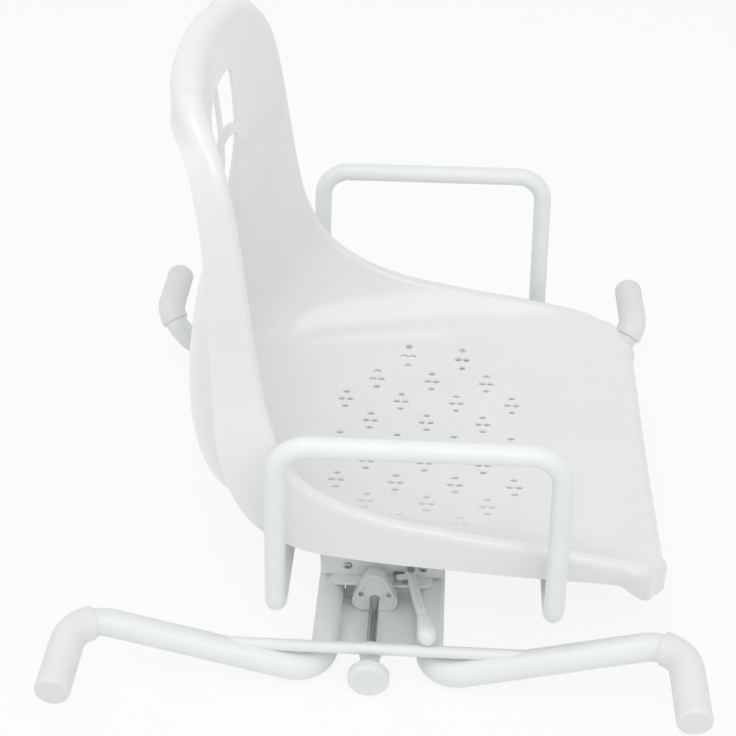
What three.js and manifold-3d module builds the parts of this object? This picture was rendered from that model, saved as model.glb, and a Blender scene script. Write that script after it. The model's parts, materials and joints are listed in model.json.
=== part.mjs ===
// Swivel bath seat: a moulded bucket seat with two armrests on a lockable turntable. The turntable
// sits on a tube frame that hangs between the two rims of a bath.
// Millimetres. +X points to the sitter's knees, +Y to the sitter's left, +Z up.
// The origin lies on the swivel axis, level with the lowest face of the frame.
import * as THREE from 'three';
import { mergeVertices } from 'three/addons/utils/BufferGeometryUtils.js';
import Module from 'manifold-3d';

const wasm = await Module();
wasm.setup();

// Fits and facets
const GAP = 0.3; // between pieces that touch
const OVERRUN = 2; // how far a cutting shape runs past the face that it cuts
const TUBE_SIDES = 12;
const ROUND_SIDES = 16;
const SCREW_SIDES = 6;
const BEND_STEPS = 4;
const CORNER_STEPS = 3;

// Frame of two bent tubes, with a sleeve on each end that rests on a bath rim
const FRAME_TUBE_D = 28;
const FRAME_TUBE_WALL = 2;
const FRAME_SPAN = 730; // across the bath, over the sleeves
const RIM_RUN_SPACING = 598; // between the rim runs, along the bath
const SEAT_RUN_SPACING = 107; // between the runs below the seat
const RIM_RUN_LENGTH = 101; // from a sleeve's end to the axis of the inward run
const NEAR_RUN_SLANT = 11; // how far the near inward runs lead outwards, down to the seat runs
const FRAME_DROP = 56; // from the rim runs down to the runs below the seat
const RIM_BEND_R = 36;
const SEAT_BEND_R = 34;
const FAR_DROP_WIDTH = 31; // inwards over the steep drop at the far end of each tube
const FAR_DROP_OFFSET = 4; // from the far inward run out to the top of the drop
const FAR_FOOT_RISE = 14; // from the runs below the seat up to the foot of the drop
const FAR_BEND_R = 30;
const TUBE_BORE_DEPTH = 30; // hollow end that is open to view under a cap
const SLEEVE_WALL = 3;
const SLEEVE_CAP = 3;
const SLEEVE_FIT = 0.4; // extra room round the tube, for the bend
const SLEEVE_BEND_SHARE = 0.62; // how much of the rim bend the sleeve covers
const SLEEVE_EDGE_R = 3;

// Bars across the frame, the tray between the seat runs, and the base plate on them
const CROSS_BAR_D = 12;
const CROSS_BAR_HALF_LENGTH = 176;
const CROSS_BAR_RISE = 29; // above the axis of the runs below the seat
const FAR_BAR_RISE = 5; // the far bar lies beside the far inward runs
const CROSS_BAR_OFFSET = 2.5; // outwards from the axis of the inward runs
const TRAY_THICKNESS = 2;
const TRAY_CLEARANCE = 2.5; // above the lowest face of the frame
const TRAY_LENGTH = 89;
const TRAY_INSET = 15; // from the near inward run to the tray's end
const TRAY_LIP_HEIGHT = 9;
const BASE_THICKNESS = 3;
const BASE_LEDGE = 13; // beyond the housing at each end
const BASE_WIDTH = 108;
const BASE_CORNER_R = 8;

// Turntable housing, bearing and carrier
const HOUSING_LENGTH = 304;
const HOUSING_WIDTH = 130;
const HOUSING_HEIGHT = 27;
const HOUSING_WALL = 2.5;
const RACE_D = 112;
const RACE_BORE = 76;
const RACE_THICKNESS = 2.2;
const CARRIER_THICKNESS = 4;
const CARRIER_MARGIN = 24; // beyond the armrest tubes, along the seat
const CARRIER_WIDTH = 204;
const CARRIER_CORNER_R = 26;
const CARRIER_WEB = 8; // left round its two lightening holes
const SPINDLE_D = 44;
const SPINDLE_BORE = 13;
const SPINDLE_CLEARANCE = 1.2;
const PIVOT_BOLT_D = 12;
const PIVOT_HEAD_D = 22;
const PIVOT_HEAD_HEIGHT = 7;
const PIVOT_NUT_D = 21;
const PIVOT_NUT_HEIGHT = 8;
const WASHER_D = 30;
const WASHER_THICKNESS = 2;

// Index plate, lock bolt and lever
const INDEX_D = 112;
const INDEX_THICKNESS = 4;
const INDEX_STOPS = 4; // the seat locks at each quarter turn
const LOCK_BOLT_X = 18;
const LOCK_BOLT_WIDTH = 9;
const LOCK_BOLT_CLEARANCE = 0.6;
const LOCK_BOLT_WEB = 3; // left beyond the slot for the lever's pin
const LOCK_SLOT_WIDTH = 5;
const BRIDGE_LENGTH = 14;
const BRIDGE_WALL = 2;
const LEVER_PIVOT_X = 31;
const LEVER_PIVOT_FROM_HOUSING = 6.5;
const LEVER_REST_ANGLE = 10.7; // degrees, away from straight out
const LEVER_TURN = 30; // degrees, from free to locked
const LEVER_PAST_BAR = 2.6; // from the near cross bar's axis out to the knob's tip
const LEVER_BAR_CLEARANCE = 0.2; // from the near cross bar's top up to the knob's lowest line
const LEVER_D = 10;
const LEVER_HUB_D = 11;
const LEVER_HUB_HEIGHT = 10;
const LEVER_CRANK_WIDTH = 5.5;
const LEVER_CRANK_THICKNESS = 3;
const LEVER_PIN_D = 4;
const KNOB_D = 19;
const KNOB_LENGTH = 38;
const SPRING_WIRE_D = 1;
const SPRING_COIL_D = 8;
const SPRING_TURNS = 3;
const SPRING_SIDES = 8; // steps in one turn of its coil
const SPRING_LEG = 12;

// Stop rod that slides towards the side of the bath, its pad and its guide
const ROD_D = 10;
const ROD_X = -6;
const ROD_DROP = GAP + ROD_D / 2; // axis below the base plate
const ROD_TRAVEL = 36;
const PAD_D = 42;
const PAD_THICKNESS = 13;
const PAD_EDGE_R = 4;
const PAD_NECK_D = 21;
const PAD_NECK_LENGTH = 5;
const PAD_FLARE_D = 28;
const PAD_FROM_BAR = 7.5; // rest gap between the near cross bar and the back of the pad
const PAD_SOCKET_LENGTH = 16;
const STOP_PIN_D = 4;
const STOP_PIN_LENGTH = 22;
const GUIDE_DEPTH = 12.7; // of its triangular front, beyond the base plate
const GUIDE_BOSS_D = 30;
const GUIDE_CORNER_R = 12;
const GUIDE_REACH_UP = 33; // from the rod's axis to the top corner
const GUIDE_REACH_DOWN = 17.5;
const GUIDE_HALF_WIDTH = 24;
const GUIDE_RIM_WIDTH = 2.5;
const GUIDE_RECESS = 3;
const GUIDE_BUSH_D = 18;
const GUIDE_FROM_HOUSING = 2;
const GUIDE_SCREW_SPACING = 29;
const GUIDE_SCREW_RISE = 4; // above the rod's axis

// Screws
const SCREW_D = 5;
const SCREW_HEAD_D = 9;
const SCREW_HEAD_HEIGHT = 3;
const SMALL_SCREW_D = 3;
const SMALL_SCREW_HEAD_D = 5.5;
const SMALL_SCREW_HEAD_HEIGHT = 1.6;
const HOUSING_SCREW_SPACING = 80;
const HOUSING_SCREW_X = 4; // midway between the two

// Armrests
const ARM_TUBE_D = 20;
const ARM_TUBE_WALL = 1.6;
const ARM_SPACING = 516; // between the two armrests' axes
const ARM_LENGTH = 260; // between the two posts of one armrest
const ARM_CENTRE_X = 38;
const ARM_HEIGHT = 213.5; // from the run below the seat to the top bar
const ARM_TOP_BEND_R = 32;
const ARM_LOW_BEND_R = 30;
const ARM_REAR_SPLAY = 8; // how far the rear post's foot lies behind its top
const ARM_FRONT_SPLAY = 5;
const ARM_INNER_SPACING = 136; // between the inner ends below the seat
const ARM_SCREW_FROM_END = 18; // from the inner end of a foot

// Moulded seat shell
const SEAT_WALL = 4;
const SEAT_EDGE_X = 270; // where the front edge starts to roll over
const SEAT_DEPTH = 480; // from there to the deepest point of the back
const SEAT_PAN_HEIGHT = 92.6;
const BACK_RISE = 463;
const RIM_HALF_WIDTH = 211;
const SKIRT_DROP = 67;
const EDGE_ROLL_R = 17;
const TOP_SKIRT_LENGTH = 18;
const SPACER_D = 18;
const SPACER_BORE = 5.6;

// Drain holes: rows of clusters across the pan, each cluster four holes in a diamond
const CLUSTER_PITCH = 64.3; // along a row
const CLUSTER_ROW_PITCH = 36.1; // from row to row
const CLUSTER_CENTRE_X = 40;
const CLUSTER_ROW_BOW = 8; // how far the outermost rows lie forward
const CLUSTER_REACH_X = 4.9;
const CLUSTER_REACH_Y = 12.4;
const DRAIN_HOLE_X = 6.2;
const DRAIN_HOLE_Y = 8;
const DRAIN_HOLE_SIDES = 6;
const CLUSTERS_PER_ROW = [2, 3, 4, 3, 4, 3, 4, 3, 2];

// Back windows: one rounded opening divided by an upright bar and an arched cross bar
const WINDOW_WIDTH = 134;
const WINDOW_HEIGHT = 170;
const WINDOW_TOP = 425; // above the pan
const WINDOW_CORNER_R = 30;
const WINDOW_TOP_ARCH = 8;
const WINDOW_UPRIGHT_WIDTH = 9;
const WINDOW_CROSS_WIDTH = 12;
const WINDOW_CROSS_HEIGHT_SHARE = 0.66; // of the window's height, at the upright
const WINDOW_CROSS_ARCH = 17;

// Stations of the seat, from the front edge over the pan and up the back to the top edge.
// The centre line and the rim are given as shares of the seat's depth and of the back's rise,
// the half width as a share of the widest rim, the skirt's drop as a share of the deepest skirt,
// its lean as a share of a quarter turn from down to backwards, the edge's sweep as a share of a
// half turn, and its rounding as a share of the largest one.
const stationShares = [
  { spine: [0, 0.002], rim: [-0.006, 0.03], width: 0.84, drop: 0.606, lean: 0, sweep: 0.5, roll: 1 },
  { spine: [0.01, 0.001], rim: [0, 0.037], width: 0.915, drop: 0.642, lean: 0, sweep: 0.5, roll: 0.88 },
  { spine: [0.031, 0], rim: [0.019, 0.052], width: 0.962, drop: 0.597, lean: 0, sweep: 0.5, roll: 0.71 },
  { spine: [0.061, 0], rim: [0.063, 0.067], width: 0.982, drop: 0.4, lean: 0, sweep: 0.5, roll: 0.56 },
  { spine: [0.101, 0], rim: [0.101, 0.08], width: 1, drop: 0.38, lean: 0, sweep: 0.5, roll: 0.47 },
  { spine: [0.189, 0], rim: [0.189, 0.099], width: 1, drop: 0.47, lean: 0, sweep: 0.5, roll: 0.47 },
  { spine: [0.273, 0], rim: [0.273, 0.115], width: 1, drop: 0.54, lean: 0, sweep: 0.5, roll: 0.47 },
  { spine: [0.356, 0], rim: [0.356, 0.127], width: 1, drop: 0.582, lean: 0, sweep: 0.5, roll: 0.47 },
  { spine: [0.44, 0], rim: [0.44, 0.143], width: 1, drop: 0.633, lean: 0, sweep: 0.5, roll: 0.47 },
  { spine: [0.535, 0], rim: [0.524, 0.16], width: 1, drop: 0.7, lean: 0.03, sweep: 0.5, roll: 0.47 },
  { spine: [0.644, 0.001], rim: [0.608, 0.189], width: 1, drop: 0.82, lean: 0.11, sweep: 0.5, roll: 0.47 },
  { spine: [0.765, 0.004], rim: [0.671, 0.221], width: 1, drop: 0.955, lean: 0.245, sweep: 0.5, roll: 0.47 },
  { spine: [0.874, 0.011], rim: [0.723, 0.263], width: 0.998, drop: 0.985, lean: 0.425, sweep: 0.5, roll: 0.47 },
  { spine: [0.958, 0.052], rim: [0.759, 0.315], width: 0.981, drop: 0.866, lean: 0.635, sweep: 0.5, roll: 0.47 },
  { spine: [0.996, 0.143], rim: [0.778, 0.371], width: 0.948, drop: 0.776, lean: 0.79, sweep: 0.5, roll: 0.47 },
  { spine: [0.998, 0.27], rim: [0.795, 0.443], width: 0.898, drop: 0.672, lean: 0.935, sweep: 0.5, roll: 0.47 },
  { spine: [0.975, 0.421], rim: [0.807, 0.536], width: 0.863, drop: 0.597, lean: 1, sweep: 0.5, roll: 0.47 },
  { spine: [0.937, 0.583], rim: [0.818, 0.659], width: 0.836, drop: 0.537, lean: 1, sweep: 0.5, roll: 0.47 },
  { spine: [0.91, 0.724], rim: [0.828, 0.771], width: 0.81, drop: 0.478, lean: 1, sweep: 0.5, roll: 0.5 },
  { spine: [0.908, 0.821], rim: [0.839, 0.855], width: 0.782, drop: 0.463, lean: 1, sweep: 0.53, roll: 0.56 },
  { spine: [0.912, 0.896], rim: [0.853, 0.914], width: 0.735, drop: 0.448, lean: 1, sweep: 0.61, roll: 0.65 },
  { spine: [0.916, 0.95], rim: [0.872, 0.957], width: 0.659, drop: 0.463, lean: 1, sweep: 0.75, roll: 0.77 },
  { spine: [0.919, 0.983], rim: [0.891, 0.983], width: 0.559, drop: 0.493, lean: 1, sweep: 0.89, roll: 0.85 },
  { spine: [0.92, 1], rim: [0.904, 0.994], width: 0.445, drop: 0.507, lean: 1, sweep: 1, roll: 0.91 },
];
const stationsPerGap = 1; // mesh rows for each gap between two stations
const acrossSteps = 9; // mesh columns from the centre line to each rim
const rollSteps = 4; // facets round the rolled edge
// How steeply the sides rise: at the front edge, on the pan and on the back, with the crown's share
const bowlShares = { front: 2.2, pan: 5.5, back: 2.3, crown: 0.2, frontEnd: 0.2, from: 0.42, to: 0.66 };
const undersideSteps = 160;
const slopeStep = 0.002; // share over which a slope of the sitting surface is taken

// Sizes worked out from the ones above
const frameTubeR = FRAME_TUBE_D / 2;
const runZ = frameTubeR; // axis of the runs below the seat
const rimZ = runZ + FRAME_DROP;
const rimX = RIM_RUN_SPACING / 2;
const seatRunX = SEAT_RUN_SPACING / 2;
const inwardRunY = FRAME_SPAN / 2 - RIM_RUN_LENGTH;
const frameEndY = FRAME_SPAN / 2 - SLEEVE_CAP - GAP;
const crossBarR = CROSS_BAR_D / 2;
const crossBarZ = runZ + CROSS_BAR_RISE;
const crossBarY = inwardRunY + CROSS_BAR_OFFSET;
const farBarZ = runZ + FAR_BAR_RISE;
const farBarY = inwardRunY + frameTubeR + crossBarR + GAP * 2;

const baseBottom = FRAME_TUBE_D + GAP;
const baseTop = baseBottom + BASE_THICKNESS;
const housingBottom = baseTop + GAP;
const housingTop = housingBottom + HOUSING_HEIGHT;
const housingFrontY = HOUSING_LENGTH / 2;
const baseEdgeY = housingFrontY + BASE_LEDGE;
const lowerRaceBottom = housingTop + GAP;
const upperRaceBottom = lowerRaceBottom + RACE_THICKNESS + GAP;
const carrierBottom = upperRaceBottom + RACE_THICKNESS + GAP;
const carrierTop = carrierBottom + CARRIER_THICKNESS;
const armTubeR = ARM_TUBE_D / 2;
const armRunZ = carrierTop + GAP + armTubeR;
const armY = ARM_SPACING / 2;
const armInnerY = ARM_INNER_SPACING / 2;
const armFrontX = ARM_CENTRE_X + ARM_LENGTH / 2;
const armRearX = ARM_CENTRE_X - ARM_LENGTH / 2;
const armFrontFootX = armFrontX + ARM_FRONT_SPLAY;
const armRearFootX = armRearX - ARM_REAR_SPLAY;
const spacerTop = SEAT_PAN_HEIGHT - SEAT_WALL;

const washerBottom = baseTop + GAP;
const indexBottom = washerBottom + WASHER_THICKNESS + GAP;
const indexTop = indexBottom + INDEX_THICKNESS;
const spindleBottom = indexTop + GAP;
const lockBoltBottom = indexBottom;
const lockBoltTop = indexTop;
const indexR = INDEX_D / 2;
const leverPivotY = housingFrontY + LEVER_PIVOT_FROM_HOUSING;
const leverCrankLength = LEVER_PIVOT_X - LOCK_BOLT_X;
const lockBoltTravel = leverCrankLength * Math.sin(THREE.MathUtils.degToRad(LEVER_TURN / 2)) * 2;
const lockBoltInnerX = LOCK_BOLT_X - LOCK_BOLT_WIDTH / 2;
const lockBoltInnerY = Math.sqrt(indexR ** 2 - lockBoltInnerX ** 2) + LOCK_BOLT_CLEARANCE;
const leverPinY = leverPivotY + lockBoltTravel / 2;
const leverArmZ = lockBoltTop + GAP + LEVER_HUB_HEIGHT - LEVER_D / 2;
const leverRise = crossBarZ + crossBarR + LEVER_BAR_CLEARANCE + KNOB_D / 2 - leverArmZ;
const leverReachY = crossBarY + LEVER_PAST_BAR - leverPivotY;
const leverLength = leverReachY / Math.cos(THREE.MathUtils.degToRad(LEVER_REST_ANGLE));
const rodZ = baseBottom - ROD_DROP;
const guideBackY = housingFrontY + GUIDE_FROM_HOUSING;
const stopPinY = guideBackY - ROD_TRAVEL - STOP_PIN_D / 2 - GAP;

// Helpers
const radians = THREE.MathUtils.degToRad;
const vec = (x, y, z) => new THREE.Vector3(x, y, z);

function circle(radius, sides, x = 0, y = 0) {
  const points = [];
  for (let i = 0; i < sides; i += 1) {
    const angle = (i / sides) * Math.PI * 2;
    points.push(new THREE.Vector2(x + radius * Math.cos(angle), y + radius * Math.sin(angle)));
  }
  return points;
}

function roundedRectangle(length, width, radius) {
  const shape = new THREE.Shape();
  const x = length / 2 - radius;
  const y = width / 2 - radius;
  shape.absarc(x, y, radius, 0, Math.PI / 2);
  shape.absarc(-x, y, radius, Math.PI / 2, Math.PI);
  shape.absarc(-x, -y, radius, Math.PI, Math.PI * 1.5);
  shape.absarc(x, -y, radius, Math.PI * 1.5, Math.PI * 2);
  return shape;
}

// A solid for joining and cutting, made from any closed geometry
function toSolid(geometry) {
  const bare = new THREE.BufferGeometry();
  bare.setAttribute('position', geometry.getAttribute('position'));
  if (geometry.index) bare.setIndex(geometry.index);
  const merged = mergeVertices(bare);
  const points = merged.getAttribute('position').array;
  const triangles = [];
  let volume = 0;
  for (let i = 0; i < merged.index.count; i += 3) {
    const [a, b, c] = [0, 1, 2].map((corner) => merged.index.getX(i + corner));
    if (a === b || b === c || c === a) continue;
    triangles.push(a, b, c);
    const [p, q, r] = [a, b, c].map((n) => vec(points[n * 3], points[n * 3 + 1], points[n * 3 + 2]));
    volume += p.dot(q.cross(r));
  }
  if (volume < 0) triangles.reverse();
  return new wasm.Manifold(new wasm.Mesh({
    numProp: 3,
    vertProperties: Float32Array.from(points),
    triVerts: Uint32Array.from(triangles),
  }));
}

function toGeometry(body) {
  const mesh = body.getMesh();
  const geometry = new THREE.BufferGeometry();
  geometry.setAttribute('position', new THREE.BufferAttribute(mesh.vertProperties, 3));
  geometry.setIndex(new THREE.BufferAttribute(mesh.triVerts, 1));
  geometry.computeVertexNormals();
  return geometry;
}

function cut(geometry, ...tools) {
  return toGeometry(tools.reduce((body, tool) => body.subtract(toSolid(tool)), toSolid(geometry)));
}

function join(first, ...others) {
  return toGeometry(others.reduce((body, other) => body.add(toSolid(other)), toSolid(first)));
}

function box([x0, x1], [y0, y1], [z0, z1]) {
  const geometry = new THREE.BoxGeometry(x1 - x0, y1 - y0, z1 - z0);
  return geometry.translate((x0 + x1) / 2, (y0 + y1) / 2, (z0 + z1) / 2);
}

function slab(shape, bottom, top) {
  const options = { depth: top - bottom, bevelEnabled: false, curveSegments: CORNER_STEPS };
  const geometry = new THREE.ExtrudeGeometry(shape, options);
  return geometry.translate(0, 0, bottom);
}

// Turned piece: profile pairs of radius and height, from the axis back to the axis
function turned(profile, sides) {
  const points = profile.map(([radius, height]) => new THREE.Vector2(radius, height));
  return new THREE.LatheGeometry(points, sides).rotateX(Math.PI / 2);
}

function disc(diameter, bottom, top, sides = ROUND_SIDES) {
  return turned([[0, bottom], [diameter / 2, bottom], [diameter / 2, top], [0, top]], sides);
}

function ring(outer, bore, bottom, top, sides = ROUND_SIDES) {
  return cut(disc(outer, bottom, top, sides), disc(bore, bottom - OVERRUN, top + OVERRUN, sides));
}

// Turned pieces whose axis points away from the swivel axis, towards the near side
const outwards = (geometry) => geometry.rotateX(Math.PI / 2);

// A route of straight runs and round bends, as rings of points with their directions
class TubeRoute extends THREE.Curve {
  constructor(rings) {
    super();
    this.rings = rings;
  }

  ringAt(share) {
    return this.rings[Math.round(share * (this.rings.length - 1))];
  }

  getPoint(share) {
    return this.ringAt(share).point.clone();
  }

  getPointAt(share) {
    return this.getPoint(share);
  }

  getTangentAt(share, target = vec(0, 0, 0)) {
    return target.copy(this.ringAt(share).direction);
  }

  getSpacedPoints() {
    return this.rings.map((item) => item.point.clone());
  }
}

function bentRings(corners, bendRadii) {
  const rings = [];
  corners.forEach((corner, i) => {
    if (i === 0 || i === corners.length - 1) {
      const other = i === 0 ? corners[1] : corners[i - 1];
      const direction = other.clone().sub(corner).normalize().multiplyScalar(i === 0 ? 1 : -1);
      rings.push({ point: corner.clone(), direction });
      return;
    }
    const arriving = corner.clone().sub(corners[i - 1]).normalize();
    const leaving = corners[i + 1].clone().sub(corner).normalize();
    const turn = arriving.angleTo(leaving);
    const radius = bendRadii[i - 1];
    const inward = leaving.clone().sub(arriving.clone().multiplyScalar(arriving.dot(leaving))).normalize();
    const start = corner.clone().addScaledVector(arriving, -radius * Math.tan(turn / 2));
    for (let step = 0; step <= BEND_STEPS; step += 1) {
      const angle = (turn * step) / BEND_STEPS;
      const point = start.clone()
        .addScaledVector(arriving, radius * Math.sin(angle))
        .addScaledVector(inward, radius * (1 - Math.cos(angle)));
      const direction = arriving.clone().multiplyScalar(Math.cos(angle))
        .addScaledVector(inward, Math.sin(angle));
      rings.push({ point, direction });
    }
  });
  return rings;
}

function sweep(section, rings) {
  const route = new TubeRoute(rings);
  const shape = new THREE.Shape(section);
  return new THREE.ExtrudeGeometry(shape, { steps: rings.length - 1, extrudePath: route });
}

// Radius whose flats, on a round of a few sides, clear a given radius
const clearOf = (radius) => (radius + GAP) / Math.cos(Math.PI / TUBE_SIDES);

// Frame tubes, mirrored left and right of the swivel axis
function frameRings(side) {
  const corners = [
    vec(side * rimX, -frameEndY, rimZ),
    vec(side * rimX, -inwardRunY, rimZ),
    vec(side * seatRunX, -inwardRunY - NEAR_RUN_SLANT, runZ),
    vec(side * seatRunX, inwardRunY, runZ),
    vec(side * (rimX - FAR_DROP_WIDTH), inwardRunY, runZ + FAR_FOOT_RISE),
    vec(side * rimX, inwardRunY + FAR_DROP_OFFSET, rimZ),
    vec(side * rimX, frameEndY, rimZ),
  ];
  return bentRings(corners, [RIM_BEND_R, SEAT_BEND_R, SEAT_BEND_R, FAR_BEND_R, FAR_BEND_R]);
}

function frameTube(side) {
  const bore = frameTubeR - FRAME_TUBE_WALL;
  const tube = sweep(circle(frameTubeR, TUBE_SIDES), frameRings(side));
  const bores = [-1, 1].map((end) => {
    const depth = disc(bore * 2, -TUBE_BORE_DEPTH, OVERRUN, TUBE_SIDES).rotateX(-end * Math.PI / 2);
    return depth.translate(side * rimX, end * frameEndY, rimZ);
  });
  return cut(tube, ...bores);
}

// A sleeve follows the rim run from its closed end to part of the way round the bend
function sleeveRings(side, end) {
  const rings = frameRings(side);
  const covered = 2 + Math.round(BEND_STEPS * SLEEVE_BEND_SHARE);
  const part = end < 0 ? rings.slice(0, covered) : rings.slice(-covered).reverse();
  return part.map(({ point, direction }) => ({
    point: point.clone(),
    direction: direction.clone().multiplyScalar(end < 0 ? 1 : -1),
  }));
}

function rimSleeve(side, end) {
  const outerR = frameTubeR + SLEEVE_WALL;
  const rings = sleeveRings(side, end);
  const first = rings[0];
  const last = rings.at(-1);
  const bore = sweep(circle(clearOf(frameTubeR + SLEEVE_FIT), TUBE_SIDES), [
    { point: first.point.clone().addScaledVector(first.direction, -GAP), direction: first.direction },
    ...rings.slice(1, -1),
    { point: last.point.clone().addScaledVector(last.direction, OVERRUN), direction: last.direction },
  ]);
  const body = sweep(circle(outerR, TUBE_SIDES), rings);
  const edge = outerR - SLEEVE_EDGE_R;
  const cap = turned([
    [0, -SLEEVE_CAP - GAP],
    [outerR, -SLEEVE_CAP - GAP],
    [outerR, -SLEEVE_EDGE_R],
    [edge + SLEEVE_EDGE_R * Math.SQRT1_2, -SLEEVE_EDGE_R * (1 - Math.SQRT1_2)],
    [edge, 0],
    [0, 0],
  ], TUBE_SIDES).rotateX(-end * Math.PI / 2).translate(side * rimX, end * FRAME_SPAN / 2, rimZ);
  return cut(join(body, cap), bore);
}

function crossBar(end) {
  const bar = disc(CROSS_BAR_D, -CROSS_BAR_HALF_LENGTH, CROSS_BAR_HALF_LENGTH, TUBE_SIDES)
    .rotateY(Math.PI / 2)
    .translate(0, end < 0 ? -crossBarY : farBarY, end < 0 ? crossBarZ : farBarZ);
  const tubes = [-1, 1].map((side) => sweep(circle(clearOf(frameTubeR), TUBE_SIDES), frameRings(side)));
  const pieces = toSolid(cut(bar, ...tubes)).decompose();
  pieces.sort((a, b) => b.volume() - a.volume());
  return toGeometry(pieces[0]);
}

function tray() {
  const tubeReach = Math.sqrt(frameTubeR ** 2 - (frameTubeR - TRAY_CLEARANCE) ** 2);
  const halfWidth = seatRunX - tubeReach - GAP * 2;
  const outerY = inwardRunY - frameTubeR - TRAY_INSET;
  const innerY = outerY - TRAY_LENGTH;
  const top = TRAY_CLEARANCE + TRAY_THICKNESS;
  const innerHalfWidth = seatRunX - frameTubeR - GAP * 2;
  const floor = box([-halfWidth, halfWidth], [-outerY, -innerY], [TRAY_CLEARANCE, top]);
  const lip = box(
    [-innerHalfWidth, innerHalfWidth],
    [-innerY - TRAY_THICKNESS, -innerY],
    [TRAY_CLEARANCE, top + TRAY_LIP_HEIGHT],
  );
  const tubes = [-1, 1].map((side) => sweep(circle(clearOf(frameTubeR), TUBE_SIDES), frameRings(side)));
  const pieces = toSolid(cut(join(floor, lip), ...tubes)).decompose();
  pieces.sort((a, b) => b.volume() - a.volume());
  return toGeometry(pieces[0]);
}

function basePlate() {
  const shape = roundedRectangle(BASE_WIDTH, baseEdgeY * 2, BASE_CORNER_R);
  shape.holes.push(new THREE.Path(circle(SPINDLE_BORE / 2, ROUND_SIDES)));
  return slab(shape, baseBottom, baseTop);
}

// Folded steel box, open below, with a bore for the spindle and a slot for the lock bolt
function housing() {
  const x = HOUSING_WIDTH / 2;
  const inside = HOUSING_WALL;
  const shell = box([-x, x], [-housingFrontY, housingFrontY], [housingBottom, housingTop]);
  const hollow = box(
    [-x + inside, x - inside],
    [-housingFrontY + inside, housingFrontY - inside],
    [housingBottom - OVERRUN, housingTop - inside],
  );
  const bore = disc(SPINDLE_D + SPINDLE_CLEARANCE * 2, housingTop - inside - OVERRUN, housingTop + OVERRUN);
  const slotHalf = LOCK_BOLT_WIDTH / 2 + LOCK_BOLT_CLEARANCE;
  const slot = box(
    [LOCK_BOLT_X - slotHalf, LOCK_BOLT_X + slotHalf],
    [-housingFrontY - OVERRUN, -housingFrontY + inside + OVERRUN],
    [housingBottom - OVERRUN, lockBoltTop + LOCK_BOLT_CLEARANCE],
  );
  return cut(shell, hollow, bore, slot);
}

// Screw with its head at z = 0 and its shank along -z
function screw(shankD, headD, headHeight, length) {
  return turned([[0, -length], [shankD / 2, -length], [shankD / 2, 0],
    [headD / 2, 0], [headD / 2, headHeight], [0, headHeight]], SCREW_SIDES);
}

function housingScrews() {
  const z = (housingBottom + housingTop) / 2;
  const screws = [-1, 1].map((side) => outwards(
    screw(SCREW_D, SCREW_HEAD_D, SCREW_HEAD_HEIGHT, GAP / 2),
  ).translate(HOUSING_SCREW_X + side * HOUSING_SCREW_SPACING / 2, -housingFrontY - GAP, z));
  return screws;
}

function race(bottom) {
  return ring(RACE_D, RACE_BORE, bottom, bottom + RACE_THICKNESS, ROUND_SIDES);
}

function washer(bottom) {
  return ring(WASHER_D, SPINDLE_BORE, bottom, bottom + WASHER_THICKNESS);
}

// Steel plate that carries the armrests and the shell and turns on the bearing
function carrier() {
  const length = ARM_LENGTH + CARRIER_MARGIN * 2;
  const shape = roundedRectangle(length, CARRIER_WIDTH, CARRIER_CORNER_R);
  const plate = slab(shape, carrierBottom, carrierTop).translate(ARM_CENTRE_X, 0, 0);
  const windowLength = CLUSTER_PITCH * 2 - SPACER_D - CARRIER_WEB * 2;
  const windowWidth = (CARRIER_WIDTH - RACE_D) / 2 - CARRIER_WEB * 2;
  const windows = [-1, 1].map((side) => {
    const outline = roundedRectangle(windowLength, windowWidth, windowWidth / 3);
    const y = side * (CARRIER_WIDTH + RACE_D) / 4;
    return slab(outline, carrierBottom - OVERRUN, carrierTop + OVERRUN).translate(CLUSTER_CENTRE_X, y, 0);
  });
  const bore = disc(SPINDLE_BORE, carrierBottom - OVERRUN, carrierTop + OVERRUN);
  const screwHoles = [...spacerPlaces(), ...armScrewPlaces()].map(([x, y]) => (
    disc(SPACER_BORE, carrierBottom - OVERRUN, carrierTop + OVERRUN, SCREW_SIDES).translate(x, y, 0)
  ));
  return cut(plate, ...windows, bore, ...screwHoles);
}

function spindle() {
  return ring(SPINDLE_D, SPINDLE_BORE, spindleBottom, carrierBottom - GAP, ROUND_SIDES);
}

function indexPlate() {
  const plate = ring(INDEX_D, SPINDLE_BORE, indexBottom, indexTop, ROUND_SIDES * 2);
  const half = LOCK_BOLT_WIDTH / 2 + LOCK_BOLT_CLEARANCE;
  const notches = [];
  for (let stop = 0; stop < INDEX_STOPS; stop += 1) {
    const notch = box(
      [LOCK_BOLT_X - half, LOCK_BOLT_X + half],
      [-indexR - OVERRUN, -lockBoltInnerY + lockBoltTravel + LOCK_BOLT_CLEARANCE],
      [indexBottom - OVERRUN, indexTop + OVERRUN],
    );
    notches.push(notch.rotateZ((stop / INDEX_STOPS) * Math.PI * 2));
  }
  return cut(plate, ...notches);
}

function pivotBolt() {
  const top = carrierTop + GAP + WASHER_THICKNESS + GAP + PIVOT_NUT_HEIGHT;
  const headTop = baseBottom - GAP;
  return join(
    disc(PIVOT_BOLT_D, headTop - PIVOT_HEAD_HEIGHT / 2, top, ROUND_SIDES),
    disc(PIVOT_HEAD_D, headTop - PIVOT_HEAD_HEIGHT, headTop, 6),
  );
}

function pivotNut() {
  const bottom = carrierTop + GAP + WASHER_THICKNESS + GAP;
  return cut(
    disc(PIVOT_NUT_D, bottom, bottom + PIVOT_NUT_HEIGHT, 6),
    disc(SPINDLE_BORE, bottom - OVERRUN, bottom + PIVOT_NUT_HEIGHT + OVERRUN),
  );
}

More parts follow.
